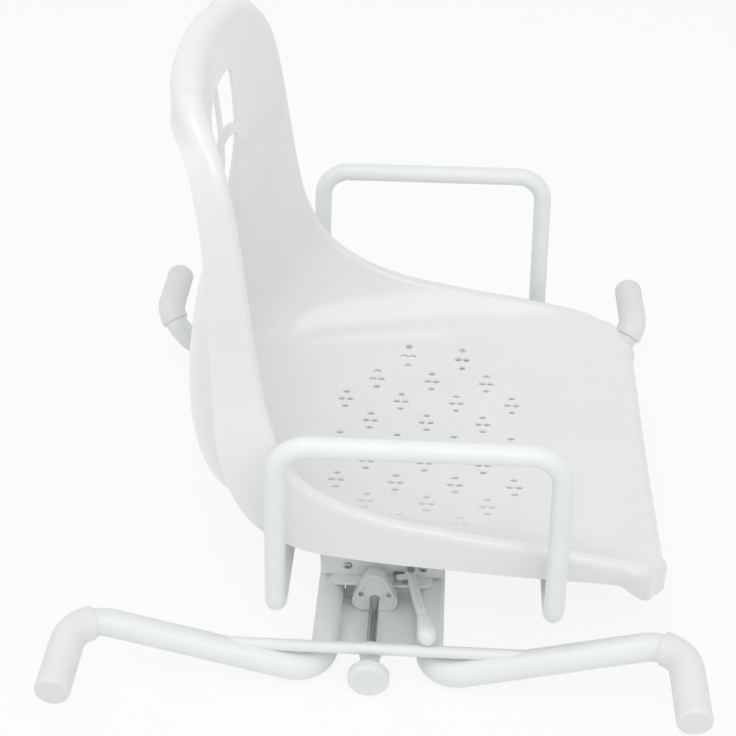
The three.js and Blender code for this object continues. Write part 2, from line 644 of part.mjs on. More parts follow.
// Lock bolt: a flat bar that the lever pushes into a notch of the index plate. It is drawn free.
function lockBolt() {
  const half = LOCK_BOLT_WIDTH / 2;
  const slotHalf = LOCK_SLOT_WIDTH / 2;
  const outerY = leverPinY + slotHalf + LOCK_BOLT_WEB;
  const across = [LOCK_BOLT_X - half, LOCK_BOLT_X + half];
  const bar = box(across, [-outerY, -lockBoltInnerY], [lockBoltBottom, lockBoltTop]);
  const slot = box(
    [LOCK_BOLT_X - LEVER_PIN_D / 2 - GAP, LOCK_BOLT_X + half + OVERRUN],
    [-leverPinY - slotHalf, -leverPinY + slotHalf],
    [lockBoltBottom - OVERRUN, lockBoltTop + OVERRUN],
  );
  return cut(bar, slot);
}

// Bridge that holds the bolt down beside the index plate
function boltBridge() {
  const half = LOCK_BOLT_WIDTH / 2 + LOCK_BOLT_CLEARANCE;
  const y0 = -indexR - BRIDGE_LENGTH - OVERRUN;
  const outer = box(
    [LOCK_BOLT_X - half - BRIDGE_WALL, LOCK_BOLT_X + half + BRIDGE_WALL],
    [y0, y0 + BRIDGE_LENGTH],
    [housingBottom, lockBoltTop + LOCK_BOLT_CLEARANCE + BRIDGE_WALL],
  );
  const passage = box(
    [LOCK_BOLT_X - half, LOCK_BOLT_X + half],
    [y0 - OVERRUN, y0 + BRIDGE_LENGTH + OVERRUN],
    [housingBottom - OVERRUN, lockBoltTop + LOCK_BOLT_CLEARANCE],
  );
  return cut(outer, passage);
}

// Course of the lever's bar, as shares of its length and of its rise at the kink and at the knob
const leverCourseShares = { kinkLength: 0.39, kinkRise: 0.29, knobRise: 0.79 };

function leverRings() {
  const tip = vec(0, -leverLength, leverArmZ + leverRise);
  const kinkRise = leverRise * leverCourseShares.kinkRise;
  const knobEnd = vec(0, KNOB_LENGTH - leverLength, leverArmZ + leverRise * leverCourseShares.knobRise);
  return bentRings([
    vec(0, 0, leverArmZ),
    vec(0, -LEVER_HUB_D, leverArmZ),
    vec(0, -leverLength * leverCourseShares.kinkLength, leverArmZ + kinkRise),
    knobEnd,
    knobEnd.clone().lerp(tip, 1 / 2),
  ], [LEVER_D, LEVER_D, LEVER_D]);
}

// Lever, drawn straight out along -y from its pivot at the origin of its own group
function leverArm() {
  const hubBottom = lockBoltTop + GAP;
  const crankTop = hubBottom + LEVER_CRANK_THICKNESS;
  const hubTop = hubBottom + LEVER_HUB_HEIGHT;
  const angle = radians(LEVER_TURN / 2 - LEVER_REST_ANGLE);
  const hub = disc(LEVER_HUB_D, hubBottom, hubTop);
  const shaft = sweep(circle(LEVER_D / 2, TUBE_SIDES), leverRings());
  const crank = box(
    [-leverCrankLength, 0],
    [-LEVER_CRANK_WIDTH / 2, LEVER_CRANK_WIDTH / 2],
    [hubBottom, crankTop],
  );
  const atEnd = (diameter, bottom) => (
    disc(diameter, bottom, crankTop, SCREW_SIDES).translate(-leverCrankLength, 0, 0)
  );
  const pieces = [crank, atEnd(LEVER_CRANK_WIDTH, hubBottom), atEnd(LEVER_PIN_D, lockBoltBottom)];
  const arm = pieces.map((piece) => piece.rotateZ(angle));
  const bore = disc(SMALL_SCREW_D + GAP * 2, hubBottom - OVERRUN, hubTop + OVERRUN, SCREW_SIDES);
  return cut(join(hub, shaft, ...arm), bore);
}

// Knob on the end of the lever, widest near its tip
const knobShares = [
  [0, 0], [0.55, 0.03], [0.85, 0.12], [1, 0.27], [0.95, 0.42], [0.75, 0.7], [0.58, 1], [0, 1],
];

function leverKnob() {
  const slope = Math.atan2(leverRise * (1 - leverCourseShares.knobRise), KNOB_LENGTH);
  const profile = knobShares.map(([radius, height]) => [radius * KNOB_D / 2, height * KNOB_LENGTH]);
  const knob = turned(profile, ROUND_SIDES).rotateX(-Math.PI / 2 - slope)
    .translate(0, -leverLength, leverArmZ + leverRise);
  const rings = leverRings().slice(-BEND_STEPS - 3);
  rings.at(-1).point.addScaledVector(rings.at(-1).direction, GAP);
  return cut(knob, sweep(circle(clearOf(LEVER_D / 2), TUBE_SIDES), rings));
}

function leverPivotScrew() {
  const hubTop = lockBoltTop + GAP + LEVER_HUB_HEIGHT;
  const length = hubTop + GAP - baseTop - GAP;
  return screw(SMALL_SCREW_D, LEVER_HUB_D - OVERRUN, SMALL_SCREW_HEAD_HEIGHT, length)
    .translate(LEVER_PIVOT_X, -leverPivotY, hubTop + GAP);
}

// Coil round the lever's pivot screw, with one leg that bears on the crank's side
function leverSpring() {
  const radius = SPRING_COIL_D / 2;
  const bottom = baseTop + GAP + SPRING_WIRE_D;
  const height = lockBoltTop - SPRING_WIRE_D - bottom;
  const rings = [];
  const steps = SPRING_TURNS * SPRING_SIDES;
  const leg = vec(-SPRING_LEG, -radius, bottom);
  const start = vec(0, -radius, bottom);
  rings.push({ point: leg, direction: vec(1, 0, 0) });
  for (let i = 0; i <= steps; i += 1) {
    const angle = (i / SPRING_SIDES) * Math.PI * 2;
    const point = vec(radius * Math.sin(angle), -radius * Math.cos(angle), start.z + (height * i) / steps);
    const direction = vec(Math.cos(angle), Math.sin(angle), height / (Math.PI * 2 * radius * SPRING_TURNS));
    rings.push({ point, direction: direction.normalize() });
  }
  return sweep(circle(SPRING_WIRE_D / 2, SCREW_SIDES), rings).translate(LEVER_PIVOT_X, -leverPivotY, 0);
}

// Stop rod, with a cross pin that meets the back of the guide when the rod is drawn out
function stopRod() {
  const outerY = crossBarY + crossBarR + PAD_FROM_BAR + GAP;
  const innerY = stopPinY - STOP_PIN_D * 2;
  const rod = outwards(disc(ROD_D, innerY, outerY, ROUND_SIDES)).translate(ROD_X, 0, rodZ);
  return cut(rod, acrossRod(STOP_PIN_D + GAP * 3, ROD_D));
}

function acrossRod(diameter, reach) {
  return disc(diameter, -reach, reach, TUBE_SIDES).rotateY(Math.PI / 2).translate(ROD_X, -stopPinY, rodZ);
}

function stopPin() {
  return acrossRod(STOP_PIN_D, STOP_PIN_LENGTH / 2);
}

function stopPad() {
  const face = crossBarY + crossBarR + PAD_FROM_BAR + PAD_THICKNESS;
  const back = face - PAD_THICKNESS;
  const neckStart = back - PAD_NECK_LENGTH;
  const flareStart = crossBarY + crossBarR + GAP * 2;
  const socketEnd = crossBarY - crossBarR - PAD_SOCKET_LENGTH;
  const socketR = crossBarZ - crossBarR - GAP * 2 - rodZ;
  const edge = PAD_D / 2 - PAD_EDGE_R;
  const bevel = PAD_EDGE_R * Math.SQRT1_2;
  const profile = [
    [0, socketEnd], [ROD_D / 2 + FRAME_TUBE_WALL, socketEnd],
    [socketR, socketEnd + PAD_SOCKET_LENGTH / 2], [socketR, flareStart],
    [PAD_FLARE_D / 2, flareStart], [PAD_NECK_D / 2, neckStart], [PAD_NECK_D / 2, back],
    [edge, back], [edge + bevel, back + PAD_EDGE_R - bevel], [PAD_D / 2, back + PAD_EDGE_R],
    [PAD_D / 2, face - PAD_EDGE_R], [edge + bevel, face - PAD_EDGE_R + bevel],
    [edge, face], [0, face],
  ];
  const bore = disc(ROD_D + GAP * 4, socketEnd - OVERRUN, back + GAP * 2);
  return outwards(cut(turned(profile, ROUND_SIDES), bore)).translate(ROD_X, 0, rodZ);
}

// Rounded triangle round the rod, seen from the near side
function guideShape(inset) {
  const radius = GUIDE_CORNER_R - inset;
  const centres = [
    [0, GUIDE_REACH_UP - GUIDE_CORNER_R],
    [-GUIDE_HALF_WIDTH + GUIDE_CORNER_R, -GUIDE_REACH_DOWN + GUIDE_CORNER_R],
    [GUIDE_HALF_WIDTH - GUIDE_CORNER_R, -GUIDE_REACH_DOWN + GUIDE_CORNER_R],
  ];
  const angles = centres.map(([x, y], i) => {
    const [nextX, nextY] = centres[(i + 1) % centres.length];
    return Math.atan2(nextY - y, nextX - x) - Math.PI / 2;
  });
  const shape = new THREE.Shape();
  centres.forEach(([x, y], i) => {
    const from = angles[(i + centres.length - 1) % centres.length];
    let to = angles[i];
    while (to < from) to += Math.PI * 2;
    shape.absarc(x, y, radius, from, to);
  });
  return shape;
}

// Block with a triangular front beyond the base plate and a round boss over and under the plate
function rodGuide() {
  const back = baseEdgeY + GAP;
  const front = back + GUIDE_DEPTH;
  const floor = front - GUIDE_RECESS;
  const block = slab(guideShape(0), back, front);
  const recess = slab(guideShape(GUIDE_RIM_WIDTH), floor, front + OVERRUN);
  const bush = disc(GUIDE_BUSH_D, floor - OVERRUN, front);
  const boss = disc(GUIDE_BOSS_D, guideBackY, back + OVERRUN);
  const bore = disc(ROD_D + GAP * 2, guideBackY - OVERRUN, front + OVERRUN);
  const holes = guideScrewPlaces().map(([x, rise]) => (
    disc(SMALL_SCREW_D + GAP * 2, back + OVERRUN, front + OVERRUN, SCREW_SIDES).translate(x, rise, 0)
  ));
  const guide = cut(join(cut(block, recess), bush, boss), bore, ...holes);
  const plateRoom = box(
    [-BASE_WIDTH, BASE_WIDTH],
    [-baseEdgeY - GAP, 0],
    [baseBottom - GAP, baseTop + GAP],
  );
  return cut(guide.rotateX(Math.PI / 2).translate(ROD_X, 0, rodZ), plateRoom);
}

function guideScrewPlaces() {
  return [-1, 1].map((side) => [side * GUIDE_SCREW_SPACING / 2, GUIDE_SCREW_RISE]);
}

function guideScrews() {
  const seat = baseEdgeY + GAP + GUIDE_DEPTH - GUIDE_RECESS + GAP;
  return guideScrewPlaces().map(([x, rise]) => (
    screw(SMALL_SCREW_D, SMALL_SCREW_HEAD_D, SMALL_SCREW_HEAD_HEIGHT, GUIDE_DEPTH / 2)
      .translate(x, rise, seat).rotateX(Math.PI / 2).translate(ROD_X, 0, rodZ)
  ));
}

// Armrest: a bar over two posts whose feet turn in below the seat
function armRings(side) {
  const top = armRunZ + ARM_HEIGHT;
  return bentRings([
    vec(armRearFootX, side * armInnerY, armRunZ),
    vec(armRearFootX, side * armY, armRunZ),
    vec(armRearX, side * armY, top),
    vec(armFrontX, side * armY, top),
    vec(armFrontFootX, side * armY, armRunZ),
    vec(armFrontFootX, side * armInnerY, armRunZ),
  ], [ARM_LOW_BEND_R, ARM_TOP_BEND_R, ARM_TOP_BEND_R, ARM_LOW_BEND_R]);
}

function armrest(side) {
  const tube = sweep(circle(armTubeR, TUBE_SIDES), armRings(side));
  const bores = [armRearFootX, armFrontFootX].map((x) => (
    disc((armTubeR - ARM_TUBE_WALL) * 2, -TUBE_BORE_DEPTH, OVERRUN, TUBE_SIDES)
      .rotateX(side * Math.PI / 2).translate(x, side * armInnerY, armRunZ)
  ));
  const holes = armScrewPlaces().filter(([, y]) => y * side > 0).map(([x, y]) => (
    disc(SPACER_BORE, armRunZ - armTubeR - OVERRUN, armRunZ, SCREW_SIDES).translate(x, y, 0)
  ));
  return cut(tube, ...bores, ...holes);
}

// Screws that hold the feet of the armrests, from below the carrier into the tube
function armScrewPlaces() {
  const y = armInnerY + ARM_SCREW_FROM_END;
  return [[armRearFootX, -y], [armRearFootX, y], [armFrontFootX, -y], [armFrontFootX, y]];
}

function carrierScrews(places, reach) {
  const z = carrierBottom - GAP;
  return places.map(([x, y]) => (
    screw(SCREW_D, SCREW_HEAD_D, SCREW_HEAD_HEIGHT, reach - z).rotateX(Math.PI).translate(x, y, z)
  ));
}

// Spacers between the carrier and the pan, set between the drain clusters
function spacerPlaces() {
  const x = CLUSTER_PITCH;
  const y = CLUSTER_ROW_PITCH * 2;
  return [[-x, -y], [-x, y], [x, -y], [x, y]].map(([dx, dy]) => [CLUSTER_CENTRE_X + dx, dy]);
}

// Height of the pan's underside where it comes lowest over a spacer
function undersideOver([x, y]) {
  const heights = [];
  for (let i = 0; i <= undersideSteps; i += 1) {
    for (let j = 0; j <= undersideSteps; j += 1) {
      const point = seatPoint(i / undersideSteps, acrossShare(j / undersideSteps * acrossSteps * 2));
      if (Math.hypot(point.x - x, point.y - y) <= SPACER_D / 2) heights.push(point.z);
    }
  }
  return Math.min(...heights) - SEAT_WALL;
}

function spacers() {
  const bottom = carrierTop + GAP;
  return spacerPlaces().map((place) => (
    ring(SPACER_D, SPACER_BORE, bottom, undersideOver(place) - GAP, SCREW_SIDES * 2)
      .translate(...place, 0)
  ));
}

// Seat shell
const mix = THREE.MathUtils.lerp;

function curveOf(column) {
  return new THREE.CatmullRomCurve3(stationShares.map(column), false, 'catmullrom', 0.5);
}

const spineCurve = curveOf(({ spine }) => vec(
  SEAT_EDGE_X - spine[0] * SEAT_DEPTH,
  0,
  SEAT_PAN_HEIGHT + spine[1] * BACK_RISE,
));
const rimCurve = curveOf(({ rim, width }) => vec(
  SEAT_EDGE_X - rim[0] * SEAT_DEPTH,
  width * RIM_HALF_WIDTH,
  SEAT_PAN_HEIGHT + rim[1] * BACK_RISE,
));
const skirtCurve = curveOf(({ drop, lean, sweep: turn }) => vec(
  drop * SKIRT_DROP,
  lean * Math.PI / 2,
  turn * Math.PI,
));
const rollCurve = curveOf(({ roll }) => vec(roll * EDGE_ROLL_R, 0, 0));

// Point of the sitting surface at a share of the way from the front edge to the top edge, and
// from -1 at the near rim over 0 at the centre line to 1 at the far rim
function seatPoint(along, across) {
  const spine = spineCurve.getPoint(along);
  const rim = rimCurve.getPoint(along);
  const rise = THREE.MathUtils.smoothstep(along, bowlShares.from, bowlShares.to);
  const opening = THREE.MathUtils.smoothstep(along, 0, bowlShares.frontEnd);
  const front = mix(bowlShares.front, bowlShares.pan, opening);
  const power = mix(front, bowlShares.back, rise);
  const crown = bowlShares.crown * (1 - rise);
  const blend = crown * across ** 2 + (1 - crown) * Math.abs(across) ** power;
  return vec(mix(spine.x, rim.x, blend), across * rim.y, mix(spine.z, rim.z, blend));
}

// Direction off the sitting surface, towards the sitter
function seatNormal(along, across) {
  const clamp = THREE.MathUtils.clamp;
  const alongStep = seatPoint(clamp(along + slopeStep, 0, 1), across)
    .sub(seatPoint(clamp(along - slopeStep, 0, 1), across));
  const acrossStep = seatPoint(along, clamp(across + slopeStep, -1, 1))
    .sub(seatPoint(along, clamp(across - slopeStep, -1, 1)));
  return acrossStep.cross(alongStep).normalize();
}

const acrossShare = (column) => Math.sin((column / acrossSteps - 1) * Math.PI / 2);

function seatGrid() {
  const rows = (stationShares.length - 1) * stationsPerGap;
  const columns = acrossSteps * 2;
  const grid = [];
  for (let i = 0; i <= rows; i += 1) {
    const row = [];
    for (let j = 0; j <= columns; j += 1) {
      row.push(seatPoint(i / rows, acrossShare(j)));
    }
    grid.push(row);
  }
  return grid;
}

// The rim of the grid as one loop: front edge, far side, top edge, near side
function seatLoop(grid) {
  const rows = grid.length - 1;
  const columns = grid[0].length - 1;
  const loop = [];
  for (let j = 0; j < columns; j += 1) loop.push([0, j]);
  for (let i = 0; i < rows; i += 1) loop.push([i, columns]);
  for (let j = columns; j > 0; j -= 1) loop.push([rows, j]);
  for (let i = rows; i > 0; i -= 1) loop.push([i, 0]);
  return loop;
}

// Outer and inner points of the rolled edge and skirt below one rim point
function edgeSection(grid, loop, index) {
  const rows = grid.length - 1;
  const [i, j] = loop[index];
  const at = ([row, column]) => grid[row][column];
  const point = at([i, j]);
  const before = at(loop[(index + loop.length - 1) % loop.length]);
  const after = at(loop[(index + 1) % loop.length]);
  const [drop, lean, turn] = skirtCurve.getPoint(i / rows).toArray();
  const down = vec(-Math.sin(lean), 0, -Math.cos(lean));
  const out = down.clone().cross(after.clone().sub(before)).normalize();
  const up = down.clone().negate();
  const normal = seatNormal(i / rows, acrossShare(j));
  const tilt = Math.atan2(-normal.dot(out), normal.dot(up));
  const start = THREE.MathUtils.clamp(tilt, -Math.PI / 8, Math.PI / 2.6);
  const radius = rollCurve.getPoint(i / rows).x;
  const place = (r, angle) => centre.clone()
    .addScaledVector(out, -r * Math.sin(angle)).addScaledVector(up, r * Math.cos(angle));
  const centre = point.clone().addScaledVector(out, radius * Math.sin(start))
    .addScaledVector(up, -radius * Math.cos(start));
  const rimHeight = rimCurve.getPoint(i / rows).z;
  const hooked = THREE.MathUtils.clamp(turn / Math.PI * 2 - 1, 0, 1);
  const hanging = i === rows
    ? drop - radius
    : drop - (rimHeight - point.z) * Math.cos(lean) - radius * Math.cos(start);
  const straight = mix(hanging, TOP_SKIRT_LENGTH, hooked);
  const travel = out.clone().multiplyScalar(Math.cos(-turn)).addScaledVector(up, Math.sin(-turn));
  const section = [];
  for (let step = 0; step <= rollSteps; step += 1) {
    section.push([start, -turn, step / rollSteps]);
  }
  const outer = section.map(([from, to, share]) => place(radius, mix(from, to, share)));
  const inner = section.map(([from, to, share]) => place(radius - SEAT_WALL, mix(from, to, share)));
  outer.push(outer.at(-1).clone().addScaledVector(travel, straight));
  inner.push(inner.at(-1).clone().addScaledVector(travel, straight));
  return { outer, inner };
}

function seatBody() {
  const grid = seatGrid();
  const loop = seatLoop(grid);
  const rows = grid.length;
  const columns = grid[0].length;
  const points = [];
  const faces = [];
  const add = (point) => points.push(point) - 1;
  const quad = (a, b, c, d) => faces.push(a, b, c, a, c, d);

  const outerIds = grid.map((row) => row.map(add));
  const sections = loop.map((place, index) => edgeSection(grid, loop, index));
  const innerIds = grid.map((row, i) => row.map((point, j) => {
    if (i === 0 || j === 0 || i === rows - 1 || j === columns - 1) return -1;
    return add(point.clone().addScaledVector(seatNormal(i / (rows - 1), acrossShare(j)), -SEAT_WALL));
  }));
  loop.forEach(([i, j], index) => {
    innerIds[i][j] = add(sections[index].inner[0]);
  });
  for (let i = 0; i < rows - 1; i += 1) {
    for (let j = 0; j < columns - 1; j += 1) {
      quad(outerIds[i][j], outerIds[i][j + 1], outerIds[i + 1][j + 1], outerIds[i + 1][j]);
      quad(innerIds[i][j], innerIds[i + 1][j], innerIds[i + 1][j + 1], innerIds[i][j + 1]);
    }
  }
  const outerChains = sections.map(({ outer }, index) => {
    const [i, j] = loop[index];
    return [outerIds[i][j], ...outer.slice(1).map(add)];
  });
  const innerChains = sections.map(({ inner }, index) => {
    const [i, j] = loop[index];
    return [innerIds[i][j], ...inner.slice(1).map(add)];
  });
  loop.forEach((place, index) => {
    const next = (index + 1) % loop.length;
    for (let step = 0; step <= rollSteps; step += 1) {
      const [outerA, outerB] = [outerChains[index], outerChains[next]];
      const [innerA, innerB] = [innerChains[index], innerChains[next]];
      quad(outerA[step], outerA[step + 1], outerB[step + 1], outerB[step]);
      quad(innerA[step], innerB[step], innerB[step + 1], innerA[step + 1]);
    }
    const [a, b] = [outerChains[index], innerChains[index]].map((chain) => chain.at(-1));
    const [c, d] = [innerChains[next], outerChains[next]].map((chain) => chain.at(-1));
    quad(a, b, c, d);
  });
  const geometry = new THREE.BufferGeometry().setFromPoints(points);
  geometry.setIndex(faces);
  return geometry;
}

function drainHoles() {
  const middleRow = (CLUSTERS_PER_ROW.length - 1) / 2;
  const diamond = [
    [-CLUSTER_REACH_X, 0], [CLUSTER_REACH_X, 0], [0, -CLUSTER_REACH_Y], [0, CLUSTER_REACH_Y],
  ];
  const holes = [];
  CLUSTERS_PER_ROW.forEach((count, row) => {
    const share = (row - middleRow) / middleRow;
    for (let n = 0; n < count; n += 1) {
      const x = CLUSTER_CENTRE_X + (n - (count - 1) / 2) * CLUSTER_PITCH + CLUSTER_ROW_BOW * share ** 2;
      const y = (row - middleRow) * CLUSTER_ROW_PITCH;
      diamond.forEach(([dx, dy]) => {
        const outline = circle(1, DRAIN_HOLE_SIDES).map((point) => (
          point.multiply(new THREE.Vector2(DRAIN_HOLE_X / 2, DRAIN_HOLE_Y / 2))
        ));
        const depth = [SEAT_PAN_HEIGHT - SEAT_WALL * 4, SEAT_PAN_HEIGHT + SEAT_WALL * 8];
        const hole = slab(new THREE.Shape(outline), ...depth);
        holes.push(hole.translate(x + dx, y + dy, 0));
      });
    }
  });
  return holes;
}

// The windows' outline in the y-z plane, and the bars that stay, as prisms along x
function windowCutters() {
  const through = (shape) => new THREE.ExtrudeGeometry(shape, {
    depth: SEAT_DEPTH / 2, bevelEnabled: false, curveSegments: 4,
  }).rotateY(Math.PI / 2).rotateX(Math.PI / 2).translate(SEAT_EDGE_X - SEAT_DEPTH * 1.1, 0, 0);
  const top = SEAT_PAN_HEIGHT + WINDOW_TOP;
  const bottom = top - WINDOW_HEIGHT;
  const y = WINDOW_WIDTH / 2 - WINDOW_CORNER_R;
  const upper = top - WINDOW_CORNER_R - WINDOW_TOP_ARCH;
  const lower = bottom + WINDOW_CORNER_R;
  const outline = new THREE.Shape();
  outline.absarc(y, upper, WINDOW_CORNER_R, 0, Math.PI / 2.4);
  outline.lineTo(0, top);
  outline.absarc(-y, upper, WINDOW_CORNER_R, Math.PI - Math.PI / 2.4, Math.PI);
  outline.absarc(-y, lower, WINDOW_CORNER_R, Math.PI, Math.PI * 1.5);
  outline.absarc(y, lower, WINDOW_CORNER_R, Math.PI * 1.5, Math.PI * 2);
  const crossZ = bottom + WINDOW_HEIGHT * WINDOW_CROSS_HEIGHT_SHARE;
  const steps = 8;
  const arch = (share) => crossZ - WINDOW_CROSS_ARCH * share ** 2;
  const crossReach = WINDOW_WIDTH / 2 + OVERRUN;
  const lowerEdge = [];
  for (let i = -steps; i <= steps; i += 1) {
    const share = i / steps;
    lowerEdge.push(new THREE.Vector2(share * crossReach, arch(share) - WINDOW_CROSS_WIDTH / 2));
  }
  const upperEdge = lowerEdge.map(({ x, y: z }) => new THREE.Vector2(x, z + WINDOW_CROSS_WIDTH)).reverse();
  const cross = new THREE.Shape([...lowerEdge, ...upperEdge]);
  const half = WINDOW_UPRIGHT_WIDTH / 2;
  const upright = new THREE.Shape([[-half, bottom], [half, bottom], [half, top], [-half, top]]
    .map(([a, b]) => new THREE.Vector2(a, b)));
  return cut(through(outline), through(cross), through(upright));
}

function seatShell() {
  return cut(seatBody(), windowCutters(), ...drainHoles());
}

// Finishes
const finish = (color, roughness, metalness) => (
  new THREE.MeshStandardMaterial({ color, roughness, metalness })
);
const whitePaint = finish(0xf1f2f1, 0.35, 0);
const whitePlastic = finish(0xf4f5f5, 0.25, 0);
const softSleeve = finish(0xeeeeea, 0.5, 0);
const greyPaint = finish(0xc9cdcb, 0.45, 0);
const nylon = finish(0xe4e2da, 0.5, 0);
const chrome = finish(0xb8bcc0, 0.12, 1);
const steel = finish(0x8e9296, 0.35, 1);

const bathSeat = new THREE.Group();
const frame = new THREE.Group();
const turntable = new THREE.Group();
const lever = new THREE.Group();
const bolt = new THREE.Group();
const stop = new THREE.Group();
lever.position.set(LEVER_PIVOT_X, -leverPivotY, 0);
lever.rotation.z = radians(LEVER_REST_ANGLE);
bathSeat.add(frame, turntable, lever, bolt, stop);

function place(group, name, geometry, material) {
  const mesh = new THREE.Mesh(geometry, material);
  mesh.name = name;
  group.add(mesh);
}

function placeAll(group, name, geometries, material) {
  geometries.forEach((geometry, i) => place(group, `${name}_${i + 1}`, geometry, material));
}

const sides = { rear: -1, front: 1 };
const ends = { near: -1, far: 1 };
Object.entries(sides).forEach(([name, side]) => {
  place(frame, `${name}_frame_tube`, frameTube(side), whitePaint);
  Object.entries(ends).forEach(([endName, end]) => {
    place(frame, `${endName}_${name}_sleeve`, rimSleeve(side, end), softSleeve);
  });
});
place(frame, 'near_cross_bar', crossBar(ends.near), whitePaint);
place(frame, 'far_cross_bar', crossBar(ends.far), whitePaint);
place(frame, 'tray', tray(), greyPaint);
place(frame, 'base_plate', basePlate(), greyPaint);
place(frame, 'turntable_housing', housing(), greyPaint);
placeAll(frame, 'housing_screw', housingScrews(), steel);
place(frame, 'lower_race', race(lowerRaceBottom), nylon);
place(frame, 'base_washer', washer(washerBottom), nylon);
place(frame, 'pivot_bolt', pivotBolt(), steel);
place(frame, 'pivot_washer', washer(carrierTop + GAP), nylon);
place(frame, 'pivot_nut', pivotNut(), steel);
place(frame, 'bolt_bridge', boltBridge(), greyPaint);
place(frame, 'rod_guide', rodGuide(), whitePlastic);
placeAll(frame, 'guide_screw', guideScrews(), steel);
place(frame, 'lever_pivot_screw', leverPivotScrew(), steel);
place(frame, 'lever_spring', leverSpring(), steel);

place(turntable, 'index_plate', indexPlate(), steel);
place(turntable, 'spindle', spindle(), nylon);
place(turntable, 'upper_race', race(upperRaceBottom), nylon);
place(turntable, 'seat_carrier', carrier(), greyPaint);
place(turntable, 'near_armrest', armrest(ends.near), whitePaint);
place(turntable, 'far_armrest', armrest(ends.far), whitePaint);
placeAll(turntable, 'arm_screw', carrierScrews(armScrewPlaces(), armRunZ - armTubeR / 2), steel);
placeAll(turntable, 'seat_spacer', spacers(), nylon);
placeAll(turntable, 'seat_screw', carrierScrews(spacerPlaces(), spacerTop - SEAT_WALL), steel);
place(turntable, 'seat_shell', seatShell(), whitePlastic);

place(lever, 'lever_arm', leverArm(), whitePaint);
place(lever, 'lever_knob', leverKnob(), whitePlastic);
place(bolt, 'lock_bolt', lockBolt(), steel);
place(stop, 'stop_rod', stopRod(), chrome);
place(stop, 'stop_pad', stopPad(), whitePlastic);
place(stop, 'stop_pin', stopPin(), steel);

export default bathSeat;
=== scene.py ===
# %% [markdown]
# # A swivel bath seat
# The real object is a white moulded bucket seat on a turntable. A frame of two bent steel tubes
# hangs between the two rims of a bath, and soft sleeves cover its ends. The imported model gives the
# fixed frame: every size and place. This file dresses it, piece by piece, and lights it.
# Lengths are written in millimetres and turned into metres by MM, because Blender works in metres.

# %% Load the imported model
import json
import math

import bmesh
import bpy
import numpy as np
from mathutils import Matrix, Vector


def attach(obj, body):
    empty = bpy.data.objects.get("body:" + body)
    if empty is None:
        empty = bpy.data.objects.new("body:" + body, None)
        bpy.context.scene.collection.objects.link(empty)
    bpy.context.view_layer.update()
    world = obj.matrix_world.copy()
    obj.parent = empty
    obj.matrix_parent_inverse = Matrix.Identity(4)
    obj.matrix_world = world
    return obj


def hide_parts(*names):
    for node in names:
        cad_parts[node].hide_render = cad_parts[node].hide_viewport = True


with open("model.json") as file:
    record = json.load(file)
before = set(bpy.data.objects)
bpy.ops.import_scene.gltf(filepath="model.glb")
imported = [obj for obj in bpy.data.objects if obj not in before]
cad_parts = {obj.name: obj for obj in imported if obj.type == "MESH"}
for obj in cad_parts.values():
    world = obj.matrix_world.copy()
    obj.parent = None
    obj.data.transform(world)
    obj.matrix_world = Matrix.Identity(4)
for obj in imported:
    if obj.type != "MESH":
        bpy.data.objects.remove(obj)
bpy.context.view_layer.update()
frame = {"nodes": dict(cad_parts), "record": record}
nodes = frame["nodes"]
MM = 0.001

# %% [markdown]
# ## Camera
# The camera stands where the photographer stood: a little to the left of the sitter's right side,
# and well above the seat. A long lens keeps the perspective as mild as in the photograph. The
# place and direction were found by fitting the frame's four ends and the armrests to the picture.

# %% Camera
CAMERA_PLACE = Vector((0.0527, -1.2440, 1.1057))
CAMERA_AZIMUTH = math.radians(-3.5293)
CAMERA_ELEVATION = math.radians(36.2140)
camera_data = bpy.data.cameras.new("camera")
camera_data.lens = 69.81
camera_data.sensor_width = 36.0
camera = bpy.data.objects.new("camera", camera_data)
bpy.context.scene.collection.objects.link(camera)
camera.location = CAMERA_PLACE
camera.rotation_euler = (math.pi / 2 - CAMERA_ELEVATION, 0.0, -CAMERA_AZIMUTH)
bpy.context.scene.camera = camera
print("camera at", tuple(camera.location))

# %% [markdown]
# ## Shared shader groups
# Three effects turn up in several finishes. Moulded and painted surfaces are never one tone, so
# tone_drift wanders between two close colours. No surface is quite flat, so ripple gives a height
# for a Bump node, from broad waves and a fine peel. Handling dulls a surface in patches, so
# dull_patches gives a roughness. Each is a node group, built once, with its own values per finish.

# %% Helpers for node trees
COLOUR, FLOAT, GEOMETRY = "NodeSocketColor", "NodeSocketFloat", "NodeSocketGeometry"


def wire(tree, kind, place=(0, 0), values=(), **settings):
    """Adds a node, sets its properties and its sockets' values, and returns it."""
    node = tree.nodes.new(kind)
    node.location = place
    for name, value in settings.items():
        setattr(node, name, value)
    for socket, value in dict(values).items():
        node.inputs[socket].default_value = value
    return node


def connect(tree, *wires):
    """Links sockets. Each wire names a node, its output, another node and its input."""
    for source, output, target, entry in wires:
        tree.links.new(source.outputs[output], target.inputs[entry])


def new_sockets(tree, in_out, *sockets):
    """Adds sockets by name, kind and perhaps value, and returns their identifiers."""
    identifiers = []
    for label, kind, *value in sockets:
        socket = tree.interface.new_socket(name=label, in_out=in_out, socket_type=kind)
        if value:
            socket.default_value = value[0]
        identifiers.append(socket.identifier)
    return identifiers


def new_group(name, output, kind, *inputs):
    """A shader group with one output. Returns it, its two ends and its object coordinates."""
    group = bpy.data.node_groups.new(name, "ShaderNodeTree")
    new_sockets(group, "INPUT", *inputs)
    new_sockets(group, "OUTPUT", (output, kind))
    ends = wire(group, "NodeGroupInput", (-900, 0)), wire(group, "NodeGroupOutput", (600, 0))
    return group, *ends, wire(group, "ShaderNodeTexCoord", (-900, 200))


